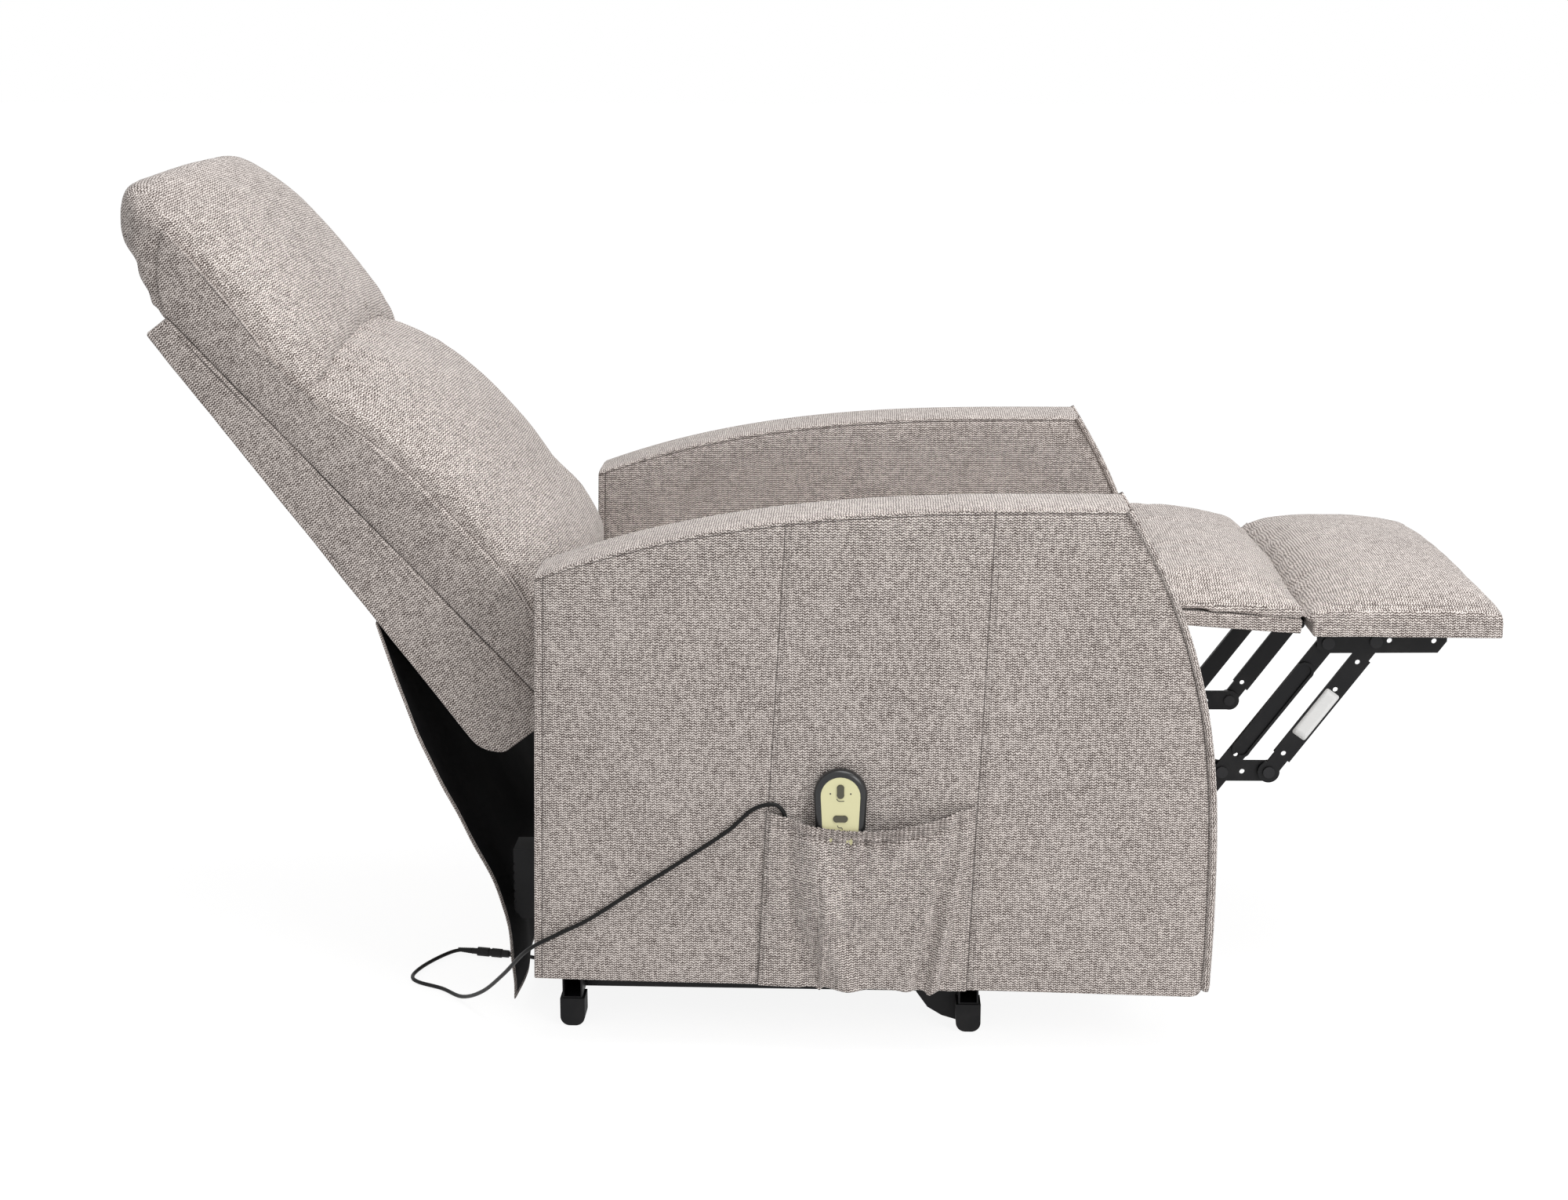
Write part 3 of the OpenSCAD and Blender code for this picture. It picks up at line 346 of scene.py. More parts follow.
# %% Upholstery cloth
def make_cloth(name):
    material, tree, shader = surface(name, {"Roughness": 0.92, "Sheen Weight": 0.22, "Sheen Roughness": 0.45,
                                            "Specular IOR Level": 0.2})
    place = texture_place(tree, "UV")
    yarns = use_group(tree, weave, {"Place": place})
    lines = use_group(tree, seam_lines, {"Seam": attribute(tree, "seam"), "Stitch": attribute(tree, "stitch"),
                                         "Place": place})
    # Painted shade: the seam valleys, with the stitch dashes, are darkened in the base colour.
    painted_shade_colour = (0.03, 0.022, 0.02, 1)
    tree.links.new(mixed(tree, lines["Shade"], yarns["Color"], painted_shade_colour), shader.inputs["Base Color"])
    height = plus(tree, times(tree, yarns["Height"], 0.55), times(tree, lines["Depth"], 1.6))
    bumped(tree, shader, height, 0.75, 0.0011)
    return material


cloth = make_cloth("warm_grey_cloth")
print("cloth material:", cloth.name)

# %% [markdown]
# ## Steel, plastic and wood
# The steel is powder coated: black with a fine orange peel, a little worn and dusty where it is
# handled. One group gives grain and dust to all of it, and each material sets its own amounts.

# %% Coating group
def make_coat():
    tree, given, out = group("fine_grain", [
        ("Colour", COLOUR, (0.03, 0.03, 0.03, 1)), ("Dust", COLOUR, (0.2, 0.19, 0.18, 1)),
        ("Dust Amount", FLOAT, 0.1), ("Grain Size", FLOAT, 900.0), ("Rough Low", FLOAT, 0.4),
        ("Rough High", FLOAT, 0.6)],
        [("Color", COLOUR), ("Roughness", FLOAT), ("Height", FLOAT)])
    place = texture_place(tree)
    grain = noise(tree, place, given["Grain Size"])
    cloud = noise(tree, place, 14.0, 4.0, 0.6)
    dust = times(tree, ramp(tree, cloud, 0.42, 0.72), given["Dust Amount"])
    tree.links.new(mixed(tree, dust, given["Colour"], given["Dust"]), out["Color"])
    rough = put(tree, "ShaderNodeMapRange", {0: cloud, 1: 0.3, 2: 0.7, 3: given["Rough Low"],
                                             4: given["Rough High"]})
    tree.links.new(rough.outputs[0], out["Roughness"])
    tree.links.new(grain, out["Height"])
    return tree


fine_grain = make_coat()


def coated(name, colour, dust, low, high, bump=0.25, grain=900.0, size=0.0002, metallic=0.0, **more):
    material, tree, shader = surface(name, {"Metallic": metallic, **more})
    made = use_group(tree, fine_grain, {"Colour": (*colour, 1), "Dust Amount": dust, "Rough Low": low,
                                        "Rough High": high, "Grain Size": grain})
    tree.links.new(made["Color"], shader.inputs["Base Color"])
    tree.links.new(made["Roughness"], shader.inputs["Roughness"])
    bumped(tree, shader, made["Height"], bump, size)
    return material


MATT = {"Specular IOR Level": 0.22}
black_steel = coated("black_powder_coat", (0.008, 0.008, 0.009), 0.06, 0.42, 0.60, **MATT)
link_steel = coated("black_link_paint", (0.008, 0.008, 0.009), 0.06, 0.34, 0.50, **MATT)
pin_steel = coated("pin_steel", (0.022, 0.022, 0.024), 0.08, 0.32, 0.50, **MATT)
bright_steel = coated("rod_steel", (0.45, 0.45, 0.46), 0.03, 0.18, 0.3, metallic=1.0)
glide = coated("glide_plastic", (0.010, 0.010, 0.011), 0.10, 0.55, 0.75, **MATT)
motor_plastic = coated("motor_plastic", (0.010, 0.010, 0.011), 0.06, 0.45, 0.6, bump=0.5, grain=700.0, **MATT)
shell_plastic = coated("handset_shell_plastic", (0.014, 0.014, 0.015), 0.03, 0.20, 0.30, bump=0.06)
key_plastic = coated("key_plastic", (0.075, 0.070, 0.045), 0.05, 0.45, 0.6)
sheath = coated("lead_sheath", (0.005, 0.005, 0.005), 0.02, 0.38, 0.5, grain=600.0, **MATT)
lining = coated("black_lining", (0.006, 0.006, 0.007), 0.05, 0.85, 0.95, bump=0.6, grain=500.0, size=0.0006,
                **{"Specular IOR Level": 0.1})
tag_film = coated("blank_tag", (0.80, 0.80, 0.79), 0.04, 0.4, 0.5, bump=0.05)


def make_wood():
    material, tree, shader = surface("raw_wood", {"Specular IOR Level": 0.3})
    place = texture_place(tree)
    grain = noise(tree, stretched(tree, place, (6, 60, 60)), 1.0, 4.0, 0.6)
    plies = put(tree, "ShaderNodeTexWave", {"Vector": stretched(tree, place, (0, 90, 0)), "Scale": 1.0,
                                            "Distortion": 1.0}, bands_direction="Y").outputs[1]
    colour = mixed(tree, grain, (0.62, 0.44, 0.25, 1), (0.42, 0.28, 0.15, 1))
    colour = mixed(tree, times(tree, plies, 0.25), colour, (0.30, 0.19, 0.10, 1))
    tree.links.new(colour, shader.inputs["Base Color"])
    tree.links.new(ramp(tree, grain, 0.3, 0.7, 0.6, 0.8), shader.inputs["Roughness"])
    bumped(tree, shader, grain, 0.3, 0.0005)
    return material


def make_cream():
    material, tree, shader = surface("cream_face", {"Specular IOR Level": 0.4})
    place = texture_place(tree)
    print_grain = noise(tree, place, 1400.0, 2.0)
    cloud = noise(tree, place, 40.0, 2.0)
    colour = mixed(tree, times(tree, cloud, 0.35), (0.73, 0.70, 0.42, 1), (0.64, 0.60, 0.34, 1))
    tree.links.new(colour, shader.inputs["Base Color"])
    tree.links.new(ramp(tree, cloud, 0.3, 0.7, 0.38, 0.48), shader.inputs["Roughness"])
    bumped(tree, shader, print_grain, 0.08, 0.0001)
    return material


raw_wood = make_wood()
cream_face = make_cream()
print(len(bpy.data.materials), "materials")

# %% Finishes of the carried CAD nodes
def pair(name):
    return [name + "_right", name + "_left"]


finishes = {
    black_steel: ["base_cross_rear", "base_cross_mid", "base_outriggers", "base_rails", "base_pivot_plates",
                  *pair("lift_arm"), "lift_tube", "lift_links", *pair("side_plate"), "side_hangers",
                  "seat_cross_tubes", "back_brackets", "back_tube"],
    link_steel: [*pair("crank_link"), "drive_tube", *pair("rear_link"), *pair("front_link"),
                 *pair("footrest_bracket"), "footrest_board", "mid_board"],
    pin_steel: ["chair_pins", "link_pins", "footrest_pins", "seat_springs"],
    bright_steel: ["lift_rod", "back_rod"],
    glide: ["base_feet"],
    motor_plastic: ["lift_motor", "back_motor", "control_box", "handset_plug", "motor_socket"],
    raw_wood: [*pair("seat_rail"), "seat_end_rails", "back_frame"],
    shell_plastic: ["handset_shell"],
    cream_face: ["handset_face"],
    key_plastic: ["button_recline", "button_lift"],
}
for material, names in finishes.items():
    for name in names:
        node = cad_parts[name]
        node.data.materials.clear()
        node.data.materials.append(material)
        joined = node.modifiers.new("joined", "WELD")
        joined.merge_threshold = 0.00002
        smooth = node.modifiers.new("soft_edges", "EDGE_SPLIT")
        smooth.split_angle = math.radians(35)
        node.data.shade_smooth()
print("finished", sum(len(names) for names in finishes.values()), "CAD nodes")

# %% [markdown]
# ## Tools for cloth pieces
# A soft piece starts as a flat grid of faces, which is moved into its shape, given a thickness and
# rounded. Then it gets its cloth coordinates: each face is laid flat along the direction that it
# mostly faces, as a cutter lays a panel on the bolt.

# %% Tools for cloth pieces
BACK_FOOT = np.array([-0.408, 0.329])
BACK_LEAN = math.radians(37.2)


def read(items, what="co", kind=float, width=3):
    """One row of numbers for each vertex, face or corner."""
    values = np.zeros(len(items) * width, kind)
    items.foreach_get(what, values)
    return values.reshape(-1, width) if width > 1 else values


def back_place(x, z):
    """Depth x and height z along the leaning back, as X and Z in the frame."""
    c, s = math.cos(BACK_LEAN), math.sin(BACK_LEAN)
    return BACK_FOOT[0] + x * c - z * s, BACK_FOOT[1] + x * s + z * c


def finished(name, bm, body, material, replaces=(), lean=0.0, subdivisions=1):
    """Makes the object, lays its cloth, and lets it ride on its body."""
    bmesh.ops.recalc_face_normals(bm, faces=bm.faces)
    mesh = bpy.data.meshes.new(name)
    bm.to_mesh(mesh)
    bm.free()
    mesh.shade_smooth()
    mesh.materials.append(material)
    lay_cloth(mesh, lean)
    piece = placed(name, mesh)
    if subdivisions:
        modifier = piece.modifiers.new("rounding", "SUBSURF")
        modifier.levels = modifier.render_levels = subdivisions
    if body:
        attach(piece, body)
    if replaces:
        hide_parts(*replaces)
    return piece


def lay_cloth(mesh, lean=0.0):
    """Cloth coordinates in metres: each face laid flat along the way it mostly faces."""
    c, s = math.cos(lean), math.sin(lean)
    turn = np.array([[c, 0, s], [0, 1, 0], [-s, 0, c]])
    normals, points = read(mesh.polygons, "normal") @ turn.T, read(mesh.vertices) @ turn.T
    corners_of_face = read(mesh.polygons, "loop_total", int, 1)
    facing = np.repeat(np.abs(normals).argmax(axis=1), corners_of_face)
    co = points[read(mesh.loops, "vertex_index", int, 1)]
    uv = np.where((facing == 1)[:, None], co[:, [0, 2]],
                  np.where((facing == 0)[:, None], co[:, [1, 2]], co[:, [1, 0]]))
    layer = mesh.uv_layers.get("cloth") or mesh.uv_layers.new(name="cloth")
    layer.data.foreach_set("uv", uv.ravel())


def distance_to(points, line):
    """Distance of each 2-D point from a line of points."""
    best = np.full(len(points), 9.0)
    for a, b in zip(line[:-1], line[1:]):
        a, b = np.array(a, float), np.array(b, float)
        d = b - a
        t = np.clip(((points - a) @ d) / max(d @ d, 1e-12), 0, 1)
        best = np.minimum(best, np.linalg.norm(points - a - t[:, None] * d, axis=1))
    return best


def mark(piece, name, lines, where=None, plane=(0, 2), lean=False):
    """Writes 1 on the lines, falling to 0 at 20 mm, on the points that where picks."""
    mesh = piece.data
    co = read(mesh.vertices)
    flat = co[:, plane]
    near = np.zeros(len(co))
    for line in lines:
        drawn = [back_place(*p) for p in line] if lean else line
        near = np.maximum(near, 1 - np.clip(distance_to(flat, drawn) / 0.02, 0, 1))
    if where is not None:
        near = np.where(where(co), near, 0)
    layer = mesh.attributes.get(name) or mesh.attributes.new(name, "FLOAT", "POINT")
    old = read(layer.data, "value", np.float32, 1)
    layer.data.foreach_set("value", np.maximum(near, old).astype(np.float32))


def grid(across, up, place):
    """A grid of faces whose points go where place(u, v) says, u and v from 0 to 1."""
    bm = bmesh.new()
    bmesh.ops.create_grid(bm, x_segments=across, y_segments=up, size=0.5)
    for v in bm.verts:
        v.co = Vector(place(v.co.x + 0.5, v.co.y + 0.5))
    return bm


def patch(u, v, low, high, left, right, corners):
    """A point of a four-sided patch, from its edges' points at u and v and its four corners."""
    low_left, low_right, high_left, high_right = corners
    return ((1 - v) * low + v * high + (1 - u) * left + u * right
            - ((1 - u) * (1 - v) * low_left + u * (1 - v) * low_right + (1 - u) * v * high_left
               + u * v * high_right))


def thicken(bm, way, cuts=0):
    """Closes a grid into a solid by drawing a copy of it along way, with cuts across the walls."""
    start = set(bm.verts)
    drawn = bmesh.ops.extrude_face_region(bm, geom=bm.faces[:], use_keep_orig=True)
    moved = [g for g in drawn["geom"] if isinstance(g, bmesh.types.BMVert)]
    bmesh.ops.translate(bm, verts=moved, vec=way)
    if cuts:
        walls = [e for e in bm.edges if (e.verts[0] in start) != (e.verts[1] in start)]
        bmesh.ops.subdivide_edges(bm, edges=walls, cuts=cuts, use_grid_fill=True)


def sharp_edges(bm, least=50):
    bm.normal_update()
    limit = math.radians(least)
    return [e for e in bm.edges if len(e.link_faces) == 2 and e.calc_face_angle() > limit]


def boarded(bm, start, width, cuts, radius, segments):
    """A closed board with rounded edges: the grid from y = start, drawn along Y by width."""
    thicken(bm, (0, width, 0), cuts=cuts)
    bmesh.ops.translate(bm, verts=bm.verts, vec=(0, start, 0))
    bmesh.ops.recalc_face_normals(bm, faces=bm.faces)
    bmesh.ops.bevel(bm, geom=sharp_edges(bm), offset=radius, segments=segments, profile=0.5,
                    affect="EDGES", material=-1)
    return bm


# %% [markdown]
# ## Arms
# Each arm is a timber panel under a thin pad: nearly flat faces, a soft but clear edge along the
# top, and a piped edge at the front. The side panel is three cloths joined by two upright seams.

# %% Arm outline
ARM_IN, ARM_OUT = 0.270, 0.371
BROW, REAR_TOP, REAR_FOOT, TOE = (0.368, 0.684), (-0.331, 0.597), (-0.341, 0.092), (0.460, 0.081)
SEAM_A, SEAM_B = (-0.066, -0.032), (0.188, 0.214)     # x of the two seams, at the foot and at the top
SEAM_U = (0.30, 0.60)                                 # where those two seams run in the arm's grid
FRONT_KNEE, FRONT_X = 0.230, 0.480                    # height and x of the front edge's furthest point


def arm_top(x):
    return BROW[1] - 0.087 * max((BROW[0] - x) / 0.699, 0) ** 2.98


def arm_foot(x):
    return REAR_FOOT[1] + (TOE[1] - REAR_FOOT[1]) * (x - REAR_FOOT[0]) / (TOE[0] - REAR_FOOT[0])


def arm_front(z):
    if z > FRONT_KNEE:
        return FRONT_X - 0.112 * ((z - FRONT_KNEE) / 0.454) ** 2.58
    return FRONT_X - 0.004 * ((FRONT_KNEE - z) / 0.149) ** 2


TOE_ROUND = 0.020
front_edge = [TOE]
front_edge += [(0.459 + TOE_ROUND * math.sin(a), 0.101 - TOE_ROUND * math.cos(a)) for a in (0.4, 0.8, 1.2)]
front_edge += [(arm_front(z), z) for z in np.linspace(0.101, BROW[1], 60)]
front_run = run_along(front_edge)
front_run /= front_run[-1]


def front_at(v):
    return np.array([np.interp(v, front_run, [p[i] for p in front_edge]) for i in (0, 1)])


def upright(foot, top):
    """The two ends of a line up the arm's side, from x at its foot to x at its top."""
    return np.array([foot, arm_foot(foot)]), np.array([top, arm_top(top)])


def arm_point(u, v):
    """A point of the arm's side, u from rear to front and v from foot to top, with columns on the seams."""
    columns = (0, *SEAM_U, 1)
    low, high = upright(np.interp(u, columns, (REAR_FOOT[0], SEAM_A[0], SEAM_B[0], TOE[0])),
                        np.interp(u, columns, (REAR_TOP[0], SEAM_A[1], SEAM_B[1], BROW[0])))
    if u <= SEAM_U[1]:
        return low + (high - low) * v
    seam_low, seam_high = upright(*SEAM_B)
    return patch((u - SEAM_U[1]) / (1 - SEAM_U[1]), v, low, high, seam_low + (seam_high - seam_low) * v,
                 front_at(v), (seam_low, np.array(TOE), seam_high, np.array(BROW)))


def points_up(u, start=0, end=1, count=60):
    return [tuple(arm_point(u, v)) for v in np.linspace(start, end, count)]


def points_over(v, count=60):
    return [tuple(arm_point(u, v)) for u in np.linspace(0, 1, count)]


arm_rim = points_over(1) + [tuple(front_at(v)) for v in np.linspace(1, 0, 60)] + points_up(0, count=8)

# %% [markdown]
# Rows and columns of points lie closer together beside the seams and edges, with one of them on
# each line that is marked as a seam, so that a seam stays a fine line.

# %% Rows and columns of the arm's grid
def stops(spans, marks, least):
    """Values from 0 to 1: the given spans in even steps, and closer ones beside each mark."""
    values = {round(v, 6) for v in np.linspace(0, 1, spans)}
    for middle, offsets in marks:
        values = {v for v in values if abs(v - middle) > max(abs(o) for o in offsets) + least}
        values |= {round(middle + o, 6) for o in offsets if -1e-9 <= middle + o <= 1 + 1e-9}
    return sorted(values)


REAR_MM, SEAM_MM, FRONT_MM, UP_MM = 0.0011, 0.00112, 0.0015, 0.0018     # about a millimetre, as shares
REAR_SEAM, FRONT_SEAM, TOP_SEAM = 10 * REAR_MM, 1 - 4.6 * FRONT_MM, 1 - 4.2 * UP_MM
NEAR_SEAM = [o * SEAM_MM for o in (-8.5, -6.5, -4.5, -2.5, 0, 1.8, 4, 6.5, 8.5, 11)]
ARM_U = stops(58, [(0, [o * REAR_MM for o in (0, 3, 5, 8, 10, 12, 15)]),
                   (SEAM_U[0], NEAR_SEAM), (SEAM_U[1], NEAR_SEAM),
                   (1, [-o * FRONT_MM for o in (0, 3, 4.6, 6.2, 8, 11)])], 0.004)
ARM_V = stops(46, [(0, [o * UP_MM for o in (0, 3, 6, 10)]),
                   (1, [-o * UP_MM for o in (0, 3, 4.2, 5.4, 7.5, 10)])], 0.006)


def arm_place(u, v):
    x, z = arm_point(ARM_U[round(u * (len(ARM_U) - 1))], ARM_V[round(v * (len(ARM_V) - 1))])
    return x, 0, z


# %% Build the arms
def make_arm(side, name, node):
    bm = boarded(grid(len(ARM_U) - 1, len(ARM_V) - 1, arm_place), side * ARM_IN, side * (ARM_OUT - ARM_IN),
                 7, 0.0022, 2)
    middle, half = (ARM_IN + ARM_OUT) / 2, (ARM_OUT - ARM_IN) / 2
    co = np.array([v.co for v in bm.verts])
    for v, edge in zip(bm.verts, distance_to(co[:, [0, 2]], arm_rim)):
        out = (v.co.y - side * middle) / half
        soften = 0.0016 * math.exp(-(edge / 0.012) ** 1.5)
        v.co.y -= out * (soften + 0.0008 * math.sin(19 * v.co.x + 3) * math.sin(13 * v.co.z))
        if edge < 0.0035 and abs(out) < 0.98 and v.co.z > 0.35:
            v.co.z += 0.0030 * (1 - out ** 4)
    piece = finished(name, bm, "chair", cloth, [node])
    faces = lambda c: np.abs(np.abs(c[:, 1]) - middle) > 0.040
    outer = lambda c: np.abs(c[:, 1]) > 0.355
    seams = [[tuple(end) for end in upright(*seam)] for seam in (SEAM_A, SEAM_B)]
    mark(piece, "seam", seams, outer)
    mark(piece, "seam", [points_over(TOP_SEAM, 90), points_up(REAR_SEAM, count=12),
                         points_up(FRONT_SEAM, 0.02, 0.99, 70)], faces)
    mark(piece, "stitch", [[(x + 0.0065, z) for x, z in line] for line in seams], outer)
    return piece


arms = [make_arm(-1, "arm_cover_right", "arm_right"), make_arm(1, "arm_cover_left", "arm_left")]
print("arms:", [len(a.data.polygons) for a in arms], "faces")

# %% [markdown]
# Piping is a cord wrapped in a strip of the same cloth and sewn into a seam. It runs down both
# front edges of each arm, so it is a round bead swept along the front edge, set half into it.

# %% Piping
def bead(name, line, radius, body, material, node=None, sides=10):
    """A round bead along a line, as a mesh, with its ends closed."""
    bm = bmesh.new()
    ring = bmesh.ops.create_circle(bm, segments=sides, radius=radius, cap_ends=True)["verts"]
    line = np.array(line)
    tangents = np.gradient(line, axis=0)
    previous = Matrix.Identity(4)
    for i, (place, way) in enumerate(zip(line, tangents)):
        turn = Vector((0, 0, 1)).rotation_difference(Vector(way).normalized()).to_matrix().to_4x4()
        goal = Matrix.Translation(Vector(place)) @ turn
        if i:
            faces = [f for f in bm.faces if all(v in ring for v in f.verts)]
            new = bmesh.ops.extrude_face_region(bm, geom=faces)
            bmesh.ops.delete(bm, geom=[f for f in faces if f.is_valid], context="FACES_ONLY")
            ring = [g for g in new["geom"] if isinstance(g, bmesh.types.BMVert)]
        bmesh.ops.transform(bm, matrix=goal @ previous.inverted(), verts=ring)
        previous = goal
    piece = finished(name, bm, body, material, [node] if node else [], subdivisions=0)
    wind_cloth(piece.data, line, radius)
    return piece


def wind_cloth(mesh, line, radius):
    """Cloth coordinates that run along the line and round the bead."""
    run = run_along(line)
    co = np.array([v.co for v in mesh.vertices])
    nearest = np.array([np.linalg.norm(line - c, axis=1).argmin() for c in co])
    off = co - line[nearest]
    way = np.gradient(line, axis=0)[nearest]
    across = np.cross(way / np.linalg.norm(way, axis=1)[:, None], (0, 1, 0))
    angle = np.arctan2(off[:, 1], (off * across).sum(axis=1))
    layer = mesh.uv_layers["cloth"].data
    for polygon in mesh.polygons:
        turns = [angle[mesh.loops[i].vertex_index] for i in polygon.loop_indices]
        for i, turn in zip(polygon.loop_indices, turns):
            turn += 2 * math.pi if max(turns) - turn > math.pi else 0
            layer[i].uv = (run[nearest[mesh.loops[i].vertex_index]], turn * radius)


def make_piping(side, name, node):
    line = [(front_at(v)[0] + 0.0008, front_at(v)[1]) for v in np.linspace(1.0, 0.03, 74)]
    outer = bead(name + "_outer", [(x, side * (ARM_OUT - 0.001), z) for x, z in line], 0.0044, "chair",
                 cloth, node)
    inner = bead(name + "_inner", [(x, side * (ARM_IN + 0.001), z) for x, z in line], 0.0044, "chair", cloth)
    return outer, inner


piping = make_piping(-1, "piping_right", "piping_right") + make_piping(1, "piping_left", "piping_left")
print("piping beads:", len(piping))

# %% [markdown]
# ## Cushions
# A cushion is drawn with three closed outlines, seen from the side: the seam where its side panel
# is sewn on, the outline just inside that seam, and the outline in the middle. Between the seam
# and the middle the outline moves out in two steps. A quick one rounds the edge over its filling,
# and a slow one crowns the cushion across its width.

# %% Cushion blanks
def closed_line(points, steps):
    """A smooth closed curve through the given 2-D points."""
    p = [np.array(q, float) * 0.001 for q in points]
    line = []
    for i in range(len(p)):
        line += curve_between(p[i - 1], p[i], p[(i + 1) % len(p)], p[(i + 2) % len(p)], steps)
    return line


def crowned(f, sharp):
    return math.sqrt(max(1 - abs(f) ** sharp, 0))


def cushion_blank(half, seam, near, middle, place, quick=14, slow=2.0):
    """A closed cushion between y = -half and half, its outlines placed by place(x, z)."""
    seam, near, middle = (closed_line(loop, 4) for loop in (seam, near, middle))
    count = len(seam)

    def at(u, v):
        i = round(u * count) % count
        f = math.sin((v - 0.5) * math.pi)
        x, z = seam[i] + (near[i] - seam[i]) * crowned(f, quick) + (middle[i] - near[i]) * crowned(f, slow)
        x, z = place(x, z)
        return x, f * half, z

    bm = grid(count, 48, at)
    bmesh.ops.remove_doubles(bm, verts=bm.verts, dist=1e-5)
    bmesh.ops.holes_fill(bm, edges=[e for e in bm.edges if e.is_boundary], sides=0)
    bmesh.ops.recalc_face_normals(bm, faces=bm.faces)
    return bm


def bake(piece):
    """Turns a piece's modifiers into its mesh."""
    graph = bpy.context.evaluated_depsgraph_get()
    mesh = bpy.data.meshes.new_from_object(piece.evaluated_get(graph))
    piece.modifiers.clear()
    old, piece.data = piece.data, mesh
    bpy.data.meshes.remove(old)


# %% [markdown]
# Filling pushes the cloth out, and the cloth pulls back at its seams. The cloth simulation gives
# that balance: the blank is remeshed to even faces, drawn in a little, and blown up from inside
# with its seams held. No point may move further than a cap, so that the outline stays the measured
# one.

# %% Blow up a cushion
SIM_STEPS, PRESSURE = 20, 4.0


def puffed(bm, hold, voxel=0.006, inset=0.006, cap=0.012):
    """Blows the blank up from inside; hold(points) says how firmly each point is held, 0 to 1."""
    mesh = bpy.data.meshes.new("blank")
    bm.to_mesh(mesh)
    blank = placed("blank", mesh)
    even = blank.modifiers.new("even", "REMESH")
    even.mode = "VOXEL"
    even.voxel_size = voxel
    calm = blank.modifiers.new("calm", "SMOOTH")
    calm.factor = 0.5
    calm.iterations = 4
    bake(blank)
    mesh = blank.data
    start = read(mesh.vertices)
    grip = hold(start)
    start = start - read(mesh.vertices, "normal") * (inset * (1 - grip))[:, None]
    mesh.vertices.foreach_set("co", start.ravel())
    held = blank.vertex_groups.new(name="held")
    for i in np.nonzero(grip > 0.02)[0]:
        held.add([int(i)], float(grip[i]), "REPLACE")
    cloth_sim = blank.modifiers.new("filling", "CLOTH")
    sim = cloth_sim.settings
    sim.quality = 4
    sim.use_pressure = True
    sim.uniform_pressure_force = PRESSURE
    sim.effector_weights.gravity = 0
    sim.vertex_group_mass = "held"
    sim.tension_stiffness = sim.compression_stiffness = 12
    sim.bending_stiffness = 0.3
    cloth_sim.collision_settings.use_collision = False
    for tick in range(1, SIM_STEPS + 1):
        bpy.context.scene.frame_set(tick)
    graph = bpy.context.evaluated_depsgraph_get()
    move = read(blank.evaluated_get(graph).data.vertices) - start
    far = np.maximum(np.linalg.norm(move, axis=1), 1e-9)
    print("  filling moves the cloth %.1f mm, at most %.1f" % (far.mean() * 1000, far.max() * 1000))
    blank.modifiers.clear()
    mesh.vertices.foreach_set("co", (start + move * (cap * np.tanh(far / cap) / far)[:, None]).ravel())
    bpy.context.scene.frame_set(1)
    bm.clear()
    bm.from_mesh(blank.data)
    data = blank.data
    bpy.data.objects.remove(blank)
    bpy.data.meshes.remove(data)
    return bm


def pushed(bm, amount):
    """Moves each point along its normal by amount(point), in metres."""
    bm.normal_update()
    moves = [v.normal * amount(v.co) for v in bm.verts]
    for v, move in zip(bm.verts, moves):
        v.co += move


def lumps(place, size, seed=0.0):
    """A smooth field between about -1 and 1, whose features are size metres across."""
    return mathutils.noise.noise(Vector(place) / size + Vector((seed, 2.3 * seed, -seed)))


# %% [markdown]
# ## Backrest
# A thin shell of cloth covers the back's timber. In front of it two long side panels run from the
# seat to the head, and the lumbar and head cushions swell out between them, with a deep valley
# where they meet. Everything here is drawn in the leaning frame of the back: depth and height.

# %% Back shell
BAND_FOOT, BAND_TOP, BACK_L, BACK_HALF = 0.106, 0.035, 0.680, 0.260
CUSHION_HALF = 0.2555      # half the width between the side panels


def band(z):
    return BAND_FOOT + (BAND_TOP - BAND_FOOT) * z / BACK_L


def make_back_shell():
    def at(u, v):
        z = BACK_L * v
        corner = max(0, 1 - z / 0.034)
        x, z = back_place(band(z) * (0.5 + (u - 0.5) * (1 - 0.42 * corner ** 2)), z)
        return x, 0, z

    bm = boarded(grid(8, 60, at), -BACK_HALF, 2 * BACK_HALF, 29, 0.005, 3)
    pushed(bm, lambda p: 0.0012 * lumps(p, 0.11) + 0.0006 * lumps(p, 0.035, 3))
    piece = finished("back_outer_cover", bm, "backrest", cloth, ["back_cover"], lean=BACK_LEAN)
    side = lambda c: np.abs(c[:, 1]) > 0.252
    mark(piece, "seam", [[(0.009, 0.004), (0.009, 0.675)]], side, lean=True)
    mark(piece, "stitch", [[(0.0155, 0.004), (0.0155, 0.675)]], side, lean=True)
    mark(piece, "seam", [[(band(z) - 0.0055, z) for z in (0.0, 0.34, 0.68)]], side, lean=True)
    mark(piece, "seam", [[(-0.25, 0.0), (-0.25, 2.0)], [(0.25, 0.0), (0.25, 2.0)]],
         lambda c: np.abs(c[:, 1]) < 0.2575, plane=(1, 2))
    return piece


back_shell = make_back_shell()
print("back shell:", len(back_shell.data.polygons), "faces")

# %% Side panels of the back
seam_two = smooth_line(metres([(166, 140), (171, 176), (169, 212), (158, 320), (142, 408), (124, 460),
                               (109, 505), (104, 550), (107, 600), (107, 658), (104, 715)]), 6)
border = smooth_line(metres([(107, 0), (92, 140), (73, 320), (56, 483), (46, 580), (36.5, 672),
                             (35.5, 683)]), 8)
head_edge = smooth_line(metres([(35.5, 683), (50, 713), (69, 738), (88, 755), (101, 764), (103, 745),
                                (104, 715)]), 6)


